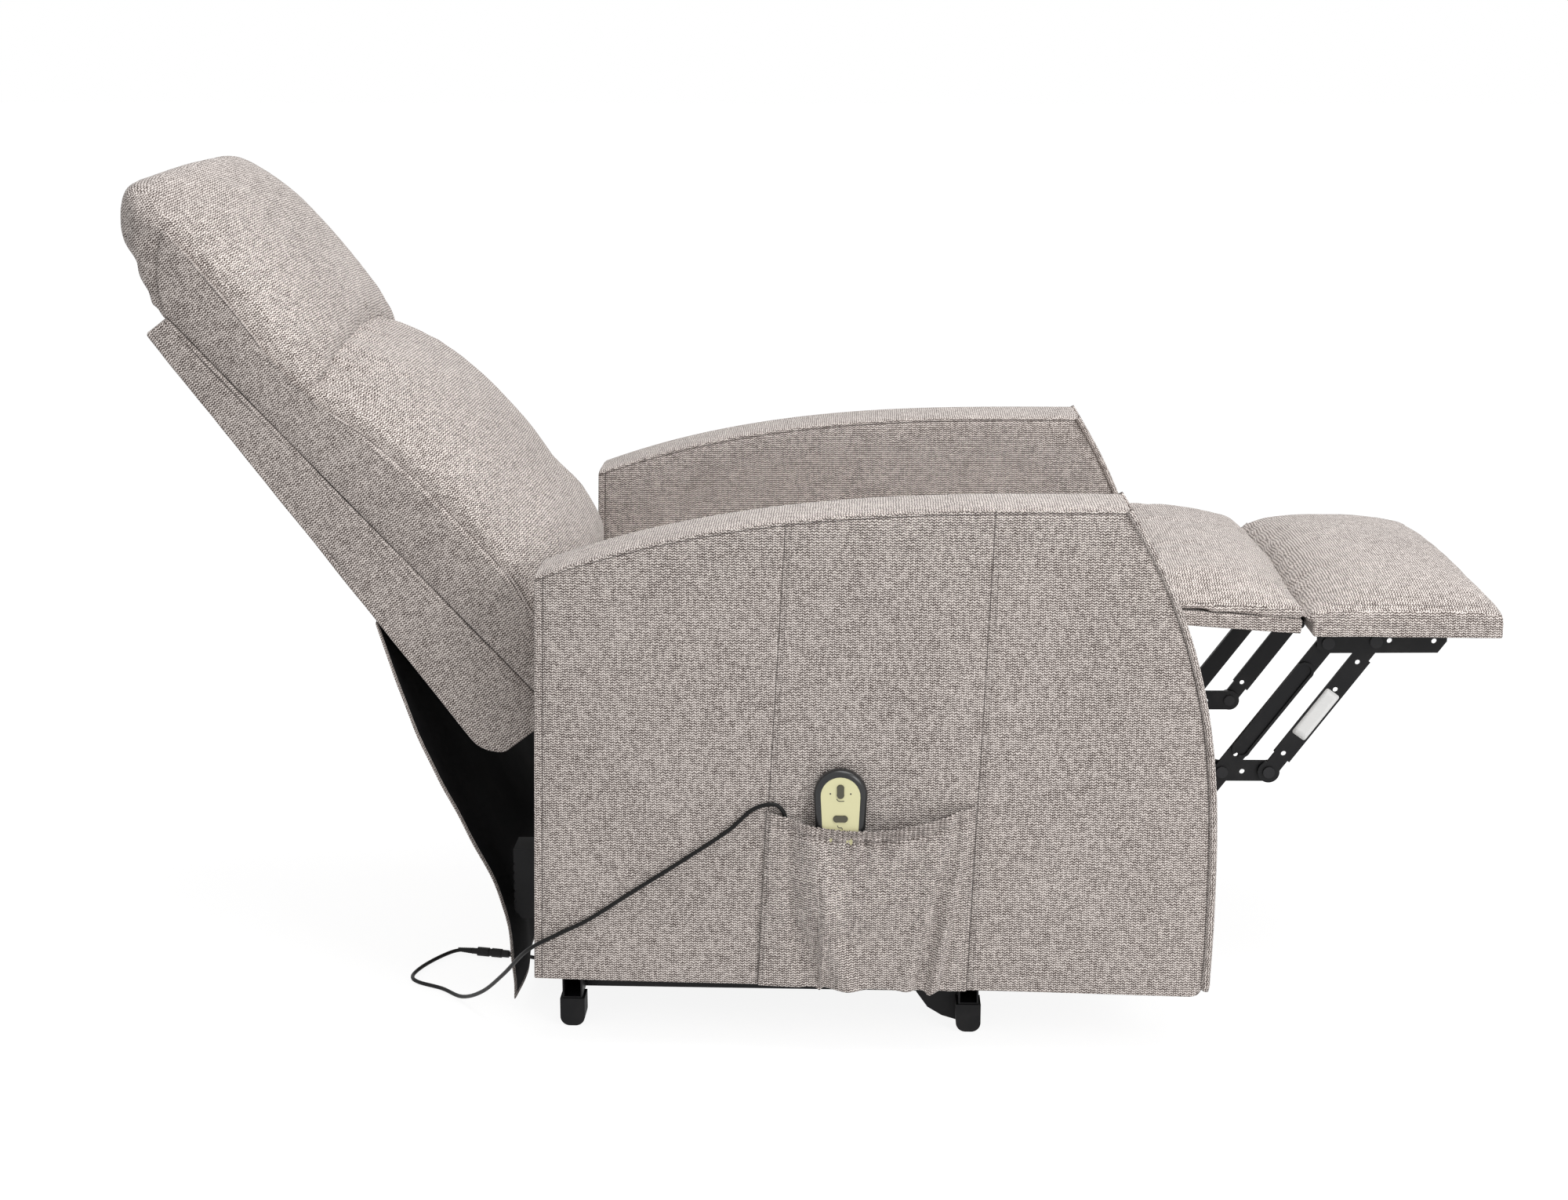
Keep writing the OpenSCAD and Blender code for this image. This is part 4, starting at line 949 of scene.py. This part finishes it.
def make_gusset(side, name):
    """One side panel: nearly flat, its edges drawn in to the seams round it."""
    foot = np.array([[0.107, 0.0], [0.140, 0.0], [0.158, 0.060], [0.166, 0.140]])

    def at(u, v):
        x, z = patch(u, v, along(foot, u), along(head_edge, u), along(border, v), along(seam_two, v),
                     (foot[0], foot[-1], head_edge[0], head_edge[-1]))
        edge = min(u, 1 - u) * 2
        swell = 0.0052 * (1 - (1 - edge) ** 4) * min(1, (1 - v) * 14 + 0.25)
        ripple = 0.0010 * lumps((x, z, side), 0.07, 5) + 0.0006 * lumps((x * 2.5, z, side), 0.03, 9)
        x, z = back_place(x, z)
        return x, side * (CUSHION_HALF + 0.002 + swell + ripple * edge), z

    bm = grid(28, 120, at)
    thicken(bm, (0, -side * 0.004, 0), cuts=0)
    piece = finished(name, bm, "backrest", cloth, lean=BACK_LEAN)
    outer = lambda c: np.abs(c[:, 1]) > CUSHION_HALF
    mark(piece, "seam", [seam_two + (-0.0015, 0)], outer, lean=True)
    mark(piece, "stitch", [seam_two + (-0.0085, 0)], outer, lean=True)
    return piece


gussets = [make_gusset(-1, "back_side_panel_right"), make_gusset(1, "back_side_panel_left")]
print("side panels:", [len(g.data.polygons) for g in gussets], "faces")

# %% Lumbar cushion
lumbar_seam = [(98, 506), (142, 408), (158, 320), (169, 250), (170, 212), (166, 150), (156, 90), (120, 66),
               (101, 90), (84, 260), (66, 450), (84, 528)]
lumbar_near = [(102, 508), (151, 414), (168, 325), (179, 253), (180, 212), (175, 150), (164, 90), (120, 66),
               (101, 90), (84, 260), (66, 450), (84, 530)]
lumbar_middle = [(156, 545), (197, 484), (223, 400), (231, 310), (230, 243), (237, 180), (219, 105),
                 (148, 62), (101, 90), (84, 260), (66, 460), (90, 560)]


def back_local(place):
    """Depth and height along the leaning back, of a point in the frame."""
    c, s = math.cos(BACK_LEAN), math.sin(BACK_LEAN)
    x, z = place[0] - BACK_FOOT[0], place[2] - BACK_FOOT[1]
    return x * c + z * s, -x * s + z * c


def crease_height(y):
    return 0.530 - 0.047 * (y / BACK_HALF) ** 2


def lumbar_folds(p):
    x, z = back_local(p)
    below = max(crease_height(p.y) - z, 0)
    gathers = math.sin(p.y * 150 + 3 * lumps((p.y, 0, 0), 0.09, 1)) * math.exp(-below / 0.030)
    side = math.exp(-((0.255 - abs(p.y)) / 0.03) ** 2)
    pulls = math.sin(z * 105 + 2.2 * lumps((z, 1, 0), 0.08, 2)) * side
    return 0.0020 * gathers + 0.0011 * pulls + 0.0026 * lumps(p, 0.16, 4) + 0.0010 * lumps(p, 0.05, 6)


def make_back_cushion(node, outlines, folds):
    bm = cushion_blank(CUSHION_HALF, *outlines, back_place)
    bm = puffed(bm, lambda co: np.clip(1 - (CUSHION_HALF - np.abs(co[:, 1])) / 0.012, 0, 1))
    pushed(bm, folds)
    piece = finished(node + "_cover", bm, "backrest", cloth, [node], lean=BACK_LEAN)
    return piece


lumbar = make_back_cushion("lumbar_cushion", (lumbar_seam, lumbar_near, lumbar_middle), lumbar_folds)
print("lumbar cushion:", len(lumbar.data.polygons), "faces")

# %% Head cushion
head_seam = [(34, 683), (50, 713), (69, 738), (90, 756), (101, 764), (103, 745), (104, 715), (107, 658),
             (107, 598), (104, 545), (108, 500), (96, 500), (58, 560), (48, 640)]
head_near = [(16, 690), (24, 748), (44, 800), (84, 834), (111, 799), (112, 764), (112, 723), (116, 661),
             (121, 604), (123, 546), (116, 486), (92, 480), (58, 560), (44, 640)]
head_middle = [(16, 692), (18, 754), (33, 816), (80, 857), (125, 845), (153, 802), (175, 750), (185, 682),
               (184, 618), (180, 562), (162, 520), (96, 520), (60, 590), (44, 650)]


def head_folds(p):
    x, z = back_local(p)
    above = max(z - crease_height(p.y), 0) if x > 0.1 else 0.2
    gathers = math.sin(p.y * 140 + 3 * lumps((p.y, 4, 0), 0.09, 1)) * math.exp(-above / 0.026)
    side = math.exp(-((0.255 - abs(p.y)) / 0.028) ** 2)
    around = math.atan2(z - 0.700, x - 0.120)
    pulls = math.sin(around * 17 + 2.0 * lumps((around, 1, 0), 0.5, 2)) * side
    return 0.0019 * gathers + 0.0015 * pulls + 0.0028 * lumps(p, 0.15, 14) + 0.0010 * lumps(p, 0.05, 16)


head = make_back_cushion("head_cushion", (head_seam, head_near, head_middle), head_folds)
print("head cushion:", len(head.data.polygons), "faces")

# %% [markdown]
# ## Seat and footrest
# The seat is one thick cushion between the arms. The footrest is two upholstered boards joined by
# a hinge. Each board is wrapped in cloth, and its pad is a separate crowned cushion whose side seam
# lies just above the board.

# %% Seat cushion
seat_base = [(376, 428), (110, 427), (-155, 428)]
seat_seam = [(-165, 440), (-165, 480), (-163, 515), (-60, 522), (110, 522), (280, 520), (384, 512),
             (386, 480), (385, 440)] + seat_base
seat_near = [(-165, 440), (-168, 485), (-150, 524), (-50, 544), (110, 554), (270, 554), (372, 534),
             (387, 490), (386, 440)] + seat_base
seat_middle = [(-165, 440), (-168, 492), (-140, 538), (-40, 558), (110, 574), (270, 577), (368, 554),
               (388, 500), (386, 440)] + seat_base


def make_seat():
    bm = cushion_blank(0.2665, seat_seam, seat_near, seat_middle, lambda x, z: (x, z), quick=10, slow=2.2)
    bm = puffed(bm, lambda co: np.clip((0.440 - co[:, 2]) / 0.012, 0, 1), voxel=0.0065)
    pushed(bm, lambda p: 0.0030 * lumps(p, 0.17, 21) + 0.0009 * lumps(p, 0.05, 22))
    piece = finished("seat_cushion_cover", bm, "chair", cloth, ["seat_cushion"])
    front_band = lambda c: (c[:, 2] > 0.5) & (c[:, 2] < 0.53)
    mark(piece, "seam", [[(0.3845, -0.30), (0.3845, 0.30)]], front_band, plane=(0, 1))
    return piece


seat = make_seat()
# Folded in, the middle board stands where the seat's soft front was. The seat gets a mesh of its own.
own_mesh(seat)
print("seat cushion:", len(seat.data.polygons), "faces")

# %% Footrest pads
PAD_HALF, PAD_VALLEY = 0.262, 0.604
foot_seam = [(611, 521), (725, 521), (834, 521), (840, 525), (840, 530), (832, 534), (780, 535), (725, 535),
             (665, 535), (618, 534), (609, 530), (608, 525)]
foot_near = [(611, 521), (725, 521), (834, 521), (841, 526), (841, 533), (829, 540), (790, 542), (732, 543),
             (668, 543), (634, 540), (613, 538), (607, 528)]
foot_middle = [(611, 521), (725, 521), (834, 521), (841, 526), (843, 541), (833, 556), (798, 568), (732, 573),
               (668, 571), (630, 560), (612, 545), (607, 528)]
mid_seam = [(412, 540), (495, 534), (588, 526), (597, 527), (598, 532), (590, 538), (550, 543), (500, 547),
            (450, 551), (415, 555), (405, 552), (404, 546)]
mid_near = [(412, 540), (495, 534), (588, 526), (597, 528), (599, 535), (588, 543), (553, 549), (503, 555),
            (450, 558), (412, 560), (400, 556), (399, 548)]
mid_middle = [(412, 540), (495, 534), (588, 526), (597, 528), (600, 541), (588, 560), (553, 573), (503, 579),
              (450, 580), (411, 574), (397, 563), (398, 548)]


def pad_folds(p, seed):
    """Soft lumps all over, and gathers that fade away from the valley between the two pads."""
    near = abs(p.x - PAD_VALLEY)
    gathers = math.sin(p.y * 118 + 3 * lumps((p.y, seed, 0), 0.10, seed)) * math.exp(-near / 0.034)
    side = math.exp(-((PAD_HALF - abs(p.y)) / 0.02) ** 2)
    pulls = math.sin(p.x * 170 + 2 * lumps((p.x, 1, 0), 0.05, seed)) * side
    strained = math.sin(p.y * 88 + 4 * lumps(p, 0.09, seed)) * math.exp(-((p.x - 0.470) / 0.055) ** 2)
    return (0.0013 * gathers + 0.0012 * strained + 0.0007 * pulls + 0.0022 * lumps(p, 0.12, seed)
            + 0.0009 * lumps(p, 0.04, seed + 1))


def make_pad(node, outlines, body, seed):
    bm = cushion_blank(PAD_HALF - 0.002, *outlines, lambda x, z: (x, z), quick=12)
    foot = min(z for x, z in outlines[0]) * 0.001
    bm = puffed(bm, lambda co: np.clip((foot + 0.020 - co[:, 2]) / 0.01, 0, 1), voxel=0.005, inset=0.004,
                cap=0.009)
    pushed(bm, lambda p: pad_folds(p, seed))
    piece = finished(node + "_cover", bm, body, cloth, [node])
    side = lambda c: (np.abs(c[:, 1]) > PAD_HALF - 0.018) | (c[:, 0] > 0.822)
    low = sorted((x * 0.001, z * 0.001) for x, z in outlines[0][:4])
    mark(piece, "seam", [[(x, z + 0.0085) for x, z in low]], side)
    mark(piece, "stitch", [[(x, z + 0.0215) for x, z in low]], side)
    return piece


foot_cushion = make_pad("footrest_pad", (foot_seam, foot_near, foot_middle), "footrest", 31)
mid_cushion = make_pad("mid_pad", (mid_seam, mid_near, mid_middle), "mid_pad", 41)
print("pads:", len(foot_cushion.data.polygons), "and", len(mid_cushion.data.polygons), "faces")


# %% Cloth round the boards
CLOTH_BELOW = 0.0008


def make_wrap(name, rear, front, thick, body):
    """A thin board wrapped in cloth, from rear to front along its lower face, which leans with them."""
    way = np.array(front) - np.array(rear)
    up = np.array([-way[1], way[0]]) / np.linalg.norm(way)

    def at(u, v):
        x, z = np.array(rear) + way * u + up * (-CLOTH_BELOW + (thick + CLOTH_BELOW) * v)
        return x, 0, z

    half = PAD_HALF - 0.0010
    bm = boarded(grid(30, 3, at), -half, 2 * half, 19, 0.003, 3)
    pushed(bm, lambda p: 0.0004 * lumps(p, 0.05, 51))
    piece = finished(name, bm, body, cloth)
    return piece


foot_wrap = make_wrap("footrest_board_wrap", (0.6105, 0.505), (0.8410, 0.505), 0.0225, "footrest")
mid_wrap = make_wrap("mid_board_wrap", (0.398, 0.5215), (0.5965, 0.5083), 0.0180, "mid_pad")
print("wraps:", foot_wrap.name, mid_wrap.name)

# %% [markdown]
# ## Cloth that crosses a joint
# Two strips of the cover bridge moving parts: one between the seat and the back, and one in the
# valley between the pads. Each is a sheet sewn to both sides.

# %% Sheets
def sheet_solid(bm, thick):
    """Gives a grid of cloth its thickness, half to each side."""
    bmesh.ops.recalc_face_normals(bm, faces=bm.faces)
    bmesh.ops.solidify(bm, geom=bm.faces[:], thickness=thick)
    return bm


def strip_of_cloth(name, profile, half, thick):
    """A strip along the profile, sewn at both ends."""
    line = smooth_line(metres(profile), 5)

    def at(u, v):
        x, z = along(line, v)
        y = half * (2 * u - 1)
        return x, y, z + 0.0012 * lumps((y, x, 0), 0.05, 61)

    piece = finished(name, sheet_solid(grid(24, len(line) - 1, at), thick), None, cloth)
    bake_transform(piece)
    print("%s: %.3f m long" % (name, line_length(line)))
    return piece


strip_of_cloth("seat_to_back_cloth", [(-158, 474), (-178, 462), (-215, 454), (-262, 456), (-305, 470),
                                      (-334, 494)],
               0.250, 0.002)
strip_of_cloth("pad_valley_cloth", [(592, 536), (597, 530.5), (603, 527.5), (609, 530), (615, 536)],
               0.252, 0.0015)

# %% [markdown]
# ## Pocket
# The pocket is one piece of cloth sewn into the two seams of the arm and its foot, with elastic in
# its hem. The elastic gathers the top, so the cloth stands off the arm and falls in soft folds to
# two tucks at the foot. It also has to go round the handset and its lead.

# %% Pocket cloth
POCKET_REAR, POCKET_FRONT = (-0.055, -0.066), (0.197, 0.188)      # x at the hem and at the foot
HANDSET_X, HANDSET_W = 0.034, 0.064
PUCKERS = 2 * math.pi * 44      # 44 small gathers along the hem


def bump_at(value, middle, width):
    return math.exp(-((value - middle) / width) ** 2)


def pocket_stand(u, v, x, z):
    """How far the pocket stands off the arm."""
    side = math.sin(math.pi * min(max(u, 0), 1)) ** 0.5
    swell = side * (0.004 + 0.015 * v ** 0.8)
    grip = math.exp(-(abs(x - HANDSET_X) / (HANDSET_W * 0.97)) ** 8)
    out = swell + grip * max(0, 0.0186 - swell) * min(1, v * 2.6) * min(1, max(0, (v - 0.30) * 5))
    valley = 0.12 + 0.155 * (1 - v) ** 2.2
    ridge = 0.835 + 0.145 * v ** 1.1
    tuck, sharp = (1 - v) ** 1.5, (1 - v) ** 0.35
    folds = ((0.0110 * min(1, 3 * (1 - v)), valley + 0.155, 0.062), (-0.0150, valley, 0.044),
             (0.0070 * tuck, 0.302, 0.013), (-0.0080 * tuck, 0.272, 0.012), (0.0110 * sharp, ridge, 0.024),
             (-0.0090 * sharp, ridge - 0.060, 0.030), (0.0050 * sharp, ridge - 0.125, 0.035),
             (-0.0060 * sharp, ridge + 0.045, 0.018))
    out += side * sum(height * bump_at(u, middle, width) for height, middle, width in folds)
    below = (1 - v) * 0.215
    phase = PUCKERS * u + 2.4 * math.sin(9 * u) + 1.3 * math.sin(31 * u)
    drop = math.exp(-max(below - 0.012, 0) / 0.045) * min(1, below / 0.012)
    out += side * (0.0019 * math.sin(phase) * math.exp(-(below / 0.019) ** 4)
                   + 0.0030 * drop * math.sin(2 * math.pi * 9.5 * u + 1.9 * math.sin(14 * u) + 0.6))
    out -= side * 0.0030 * bump_at(below, 0.0150, 0.0030)
    out += side * 0.0022 * lumps((x, z, 0), 0.05, 71) * (1 - 0.6 * v)
    inside = handset_line[handset_line[:, 1] < -0.3765][:, (0, 2)]
    if 0.03 < u < 0.6:
        near = float(np.min(np.linalg.norm(inside - (x, z), axis=1)))
        out = max(out, 0.0142 * math.exp(-(near / 0.013) ** 2))
    return max(out, 0.0006) + 0.0004


def pocket_place(u, v):
    rear = POCKET_REAR[1] + (POCKET_REAR[0] - POCKET_REAR[1]) * v
    front = POCKET_FRONT[1] + (POCKET_FRONT[0] - POCKET_FRONT[1]) * v
    x = rear + (front - rear) * u
    foot = 0.0900 - 0.004 * u - 0.0040 * (bump_at(u, 0.295, 0.012) + bump_at(u, 0.815, 0.016))
    hem = 0.313 + 0.0105 * u - 0.0235 * math.sin(math.pi * u)
    hem += 0.0010 * math.sin(PUCKERS * u + 2.4 * math.sin(9 * u))
    return x, foot + (hem - foot) * v


def make_pocket():
    def at(u, v):
        v = 1 - (1 - v) ** 1.35
        x, z = pocket_place(u, v)
        return x, -ARM_OUT - pocket_stand(u, v, x, z) - 0.0011, z

    bm = sheet_solid(grid(330, 110, at), 0.0018)
    piece = finished("pocket_cloth", bm, "chair", cloth, ["pocket"], subdivisions=0)
    edges = [[(POCKET_REAR[1], 0.090), (POCKET_REAR[0], 0.319)],
             [(POCKET_FRONT[1], 0.086), (POCKET_FRONT[0], 0.319)]]
    mark(piece, "seam", edges)
    mark(piece, "stitch", [[(x + 0.0045 * (1 if x < 0 else -1), z) for x, z in line] for line in edges])
    hem = [(pocket_place(u, 1)[0], pocket_place(u, 1)[1] - 0.0125) for u in np.linspace(0, 1, 60)]
    mark(piece, "stitch", [hem])
    return piece


pocket = make_pocket()
print("pocket:", len(pocket.data.polygons), "faces")

# %% [markdown]
# ## Flap behind the chair
# A sheet of the cover hangs from the back's lower edge to the floor, so that the mechanism doesn't
# show from behind. Its inside is a black lining, and its edges are turned in and stitched.

# %% Rear flap
flap_line = smooth_line(metres([(-550, 510), (-523, 424), (-494, 344), (-455, 263), (-425, 201), (-403, 154),
                                (-392, 101), (-388, 56), (-387, 12)]), 5)
FLAP_HALF = 0.258


def flap_place(u, v):
    x, z = along(flap_line[::-1], v)
    ahead = along(flap_line[::-1], min(v + 0.01, 1)) - along(flap_line[::-1], max(v - 0.01, 0))
    normal = np.array([ahead[1], -ahead[0]]) / np.linalg.norm(ahead)
    low = (1 - v) ** 2
    wave = 0.0040 * math.sin(4 * math.pi * u) * low + 0.0016 * lumps((u, v, 0), 0.12, 81) * (1 - v)
    edge = min(u, 1 - u) * 2 * FLAP_HALF
    wave += 0.0012 * math.sin(v * 42) * math.exp(-edge / 0.03) * (1 - v)
    x, z = np.array([x, z]) + normal * (wave + 0.0015)
    return x, FLAP_HALF * (2 * u - 1), z


def make_flap():
    bm = sheet_solid(grid(60, 70, flap_place), 0.0022)
    piece = finished("rear_flap_cloth", bm, None, cloth, ["rear_flap"], lean=math.radians(20))
    mesh = piece.data
    mesh.materials.append(lining)
    for polygon in mesh.polygons:
        inside = polygon.normal.x > 0.15 and abs(polygon.center.y) < FLAP_HALF - 0.009
        if inside and polygon.center.z > 0.022:
            polygon.material_index = 1
    hem = FLAP_HALF - 0.012
    mark(piece, "stitch", [[(-0.26, 0.030), (0.26, 0.030)], [(-hem, 0.0), (-hem, 0.6)],
                           [(hem, 0.0), (hem, 0.6)]], plane=(1, 2))
    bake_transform(piece)
    return piece


make_flap()
print("rear flap: %.3f m long" % line_length(flap_line))

# %% [markdown]
# ## Handset and small parts
# The handset keeps its moulded shell, plate and push buttons from the CAD. On the plate there
# are two pilot dots and a small sign of a chair under each button, which here are low raised lines.
# The links carry a blank tag.

# %% Signs on the handset
PLATE_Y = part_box("handset_face")[0][1]
HANDSET_TOP = 0.369


def on_plate(x, z):
    return HANDSET_X + x * 0.001, PLATE_Y + 0.00015, HANDSET_TOP + z * 0.001


def sign(name, points, radius=0.00055):
    line = smooth_line([on_plate(*p) for p in points], 3)
    return bead(name, line, radius, "chair", shell_plastic, sides=8)


signs = [
    sign("sign_recline", [(-4.6, -35.2), (-2.4, -37.6), (1.0, -37.9), (4.4, -37.6)]),
    sign("sign_lift", [(-3.6, -68.2), (-2.2, -71.0), (1.6, -71.2), (2.2, -73.4)]),
]
for x, name in ((-12.2, "pilot_dot_rear"), (12.2, "pilot_dot_front")):
    x, y, z = on_plate(x, -28.6)
    signs.append(bead(name, [(x, y + 0.0004, z), (x, y - 0.0003, z)], 0.0010, "chair", shell_plastic))
print("signs:", [s.name for s in signs])


# %% Blank tag on the front link
def make_tag():
    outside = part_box("front_link_right")[0][1]
    start, way = np.array([0.5825, 0.297]), np.array([0.587, 0.810])
    across = np.array([way[1], -way[0]])

    def at(u, v):
        x, z = start + way * (0.060 + 0.073 * v) + across * (0.0205 * (u - 0.5))
        return x, outside - 0.0002, z

    bm = grid(4, 8, at)
    bmesh.ops.bevel(bm, geom=[v for v in bm.verts if len(v.link_faces) == 1], offset=0.003, segments=4,
                    profile=0.5, affect="VERTICES", material=-1)
    thicken(bm, (0, -0.0003, 0))
    return finished("link_tag", bm, "front_link", tag_film, subdivisions=0)


make_tag()


# %% Strain reliefs
def relief(name, place, way, length, wide, narrow):
    """A tapered sleeve with ribs, from place along way."""
    bm = bmesh.new()
    bmesh.ops.create_cone(bm, cap_ends=True, segments=20, radius1=wide, radius2=narrow, depth=length)
    walls = [e for e in bm.edges if abs(e.verts[0].co.z - e.verts[1].co.z) > length / 2]
    bmesh.ops.subdivide_edges(bm, edges=walls, cuts=13)
    for v in bm.verts:
        step = round((v.co.z / length + 0.5) * 14)
        if 0 < step < 14 and step % 2:
            v.co.x *= 0.88
            v.co.y *= 0.88
    way = Vector(way).normalized()
    turn = Vector((0, 0, 1)).rotation_difference(way).to_matrix().to_4x4()
    middle = Matrix.Translation(Vector(place) + way * length / 2)
    bmesh.ops.transform(bm, matrix=middle @ turn, verts=bm.verts)
    return finished(name, bm, "chair", sheath, subdivisions=0)


reliefs = [
    relief("handset_strain_relief", (0.034, -0.380, 0.2180), (0, 0, -1), 0.020, 0.0046, 0.0030),
    relief("plug_strain_relief", plug_from - 0.0002 * plug_dir, -plug_dir, 0.020, 0.0042, 0.0029),
    relief("socket_strain_relief", socket_end + 0.0002 * plug_dir, plug_dir, 0.020, 0.0036, 0.0029),
]

for piece, line, node, far_end, others in (
        (handset_lead, handset_line, "handset_cord", "plug", [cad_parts["handset_plug"], *reliefs[:2]]),
        (socket_lead, socket_line, "motor_lead", "connector", [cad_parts["motor_socket"], reliefs[2]])):
    piece.data.materials.append(sheath)
    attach(piece, "chair")
    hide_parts(node)
print("leads declared: %.3f m and %.3f m" % (line_length(handset_line), line_length(socket_line)))

# %% [markdown]
# ## Floor and light
# A plain white studio: soft light from all round, a broad lamp above for the lighter tops and the
# faint shadow, and a smaller lamp towards the front. What the camera and the gloss see of the
# surroundings is plain white.

# %% Floor
FLOOR_HALF, UNDER_FEET = 40, 0.0006


def seen_directly(tree):
    """1 for what the camera or a gloss sees, 0 for the light that falls on the part."""
    rays = put(tree, "ShaderNodeLightPath").outputs
    return rays, plus(tree, rays["Is Camera Ray"], rays["Is Glossy Ray"], clamp=True)


def make_floor():
    bm = bmesh.new()
    bmesh.ops.create_grid(bm, x_segments=1, y_segments=1, size=FLOOR_HALF)
    bmesh.ops.translate(bm, verts=bm.verts, vec=(0, 0, -UNDER_FEET))
    mesh = bpy.data.meshes.new("studio_floor")
    bm.to_mesh(mesh)
    bm.free()
    material = bpy.data.materials.new("studio_floor")
    material.use_nodes = True
    tree = material.node_tree
    tree.nodes.clear()
    out = put(tree, "ShaderNodeOutputMaterial")
    rays, seen = seen_directly(tree)
    shadowed = put(tree, "ShaderNodeBsdfDiffuse", {"Color": (0.20, 0.20, 0.20, 1)})
    lit = put(tree, "ShaderNodeEmission", {"Color": (1, 1, 1, 1), "Strength": 0.89})
    shown = put(tree, "ShaderNodeAddShader", {0: shadowed.outputs[0], 1: lit.outputs[0]})
    plain = put(tree, "ShaderNodeBsdfDiffuse", {"Color": (0.80, 0.80, 0.80, 1)})
    both = put(tree, "ShaderNodeMixShader", {0: seen, 1: plain.outputs[0], 2: shown.outputs[0]})
    tree.links.new(both.outputs[0], out.inputs[0])
    mesh.materials.append(material)
    floor = placed("studio_floor", mesh)
    return floor


floor = make_floor()

# %% Light
scene = bpy.context.scene
world = bpy.data.worlds.new("studio")
world.use_nodes = True
scene.world = world
tree = world.node_tree
tree.nodes.clear()
rays, seen = seen_directly(tree)
seen = plus(tree, seen, rays["Is Transmission Ray"], clamp=True)
fill = put(tree, "ShaderNodeBackground", {"Color": (1, 1, 1, 1), "Strength": 0.60})
white = put(tree, "ShaderNodeBackground", {"Color": (1, 1, 1, 1), "Strength": 1.0})
both = put(tree, "ShaderNodeMixShader", {0: seen, 1: fill.outputs[0], 2: white.outputs[0]})
tree.links.new(both.outputs[0], put(tree, "ShaderNodeOutputWorld").inputs[0])


def lamp(name, place, target, size, power):
    data = bpy.data.lights.new(name, "AREA")
    data.shape = "SQUARE"
    data.size = size
    data.energy = power
    light = placed(name, data)
    light.location = place
    light.rotation_mode = "QUATERNION"
    light.rotation_quaternion = (Vector(target) - Vector(place)).to_track_quat("-Z", "Y")
    return light


lamps = [lamp("top_lamp", (0.6, -0.5, 3.1), (0.1, 0, 0.5), 2.0, 58),
         lamp("front_lamp", (2.1, -2.2, 1.8), (0.1, 0, 0.4), 1.2, 33)]
scene.view_settings.view_transform = "Standard"
print("lamps:", [light.name for light in lamps])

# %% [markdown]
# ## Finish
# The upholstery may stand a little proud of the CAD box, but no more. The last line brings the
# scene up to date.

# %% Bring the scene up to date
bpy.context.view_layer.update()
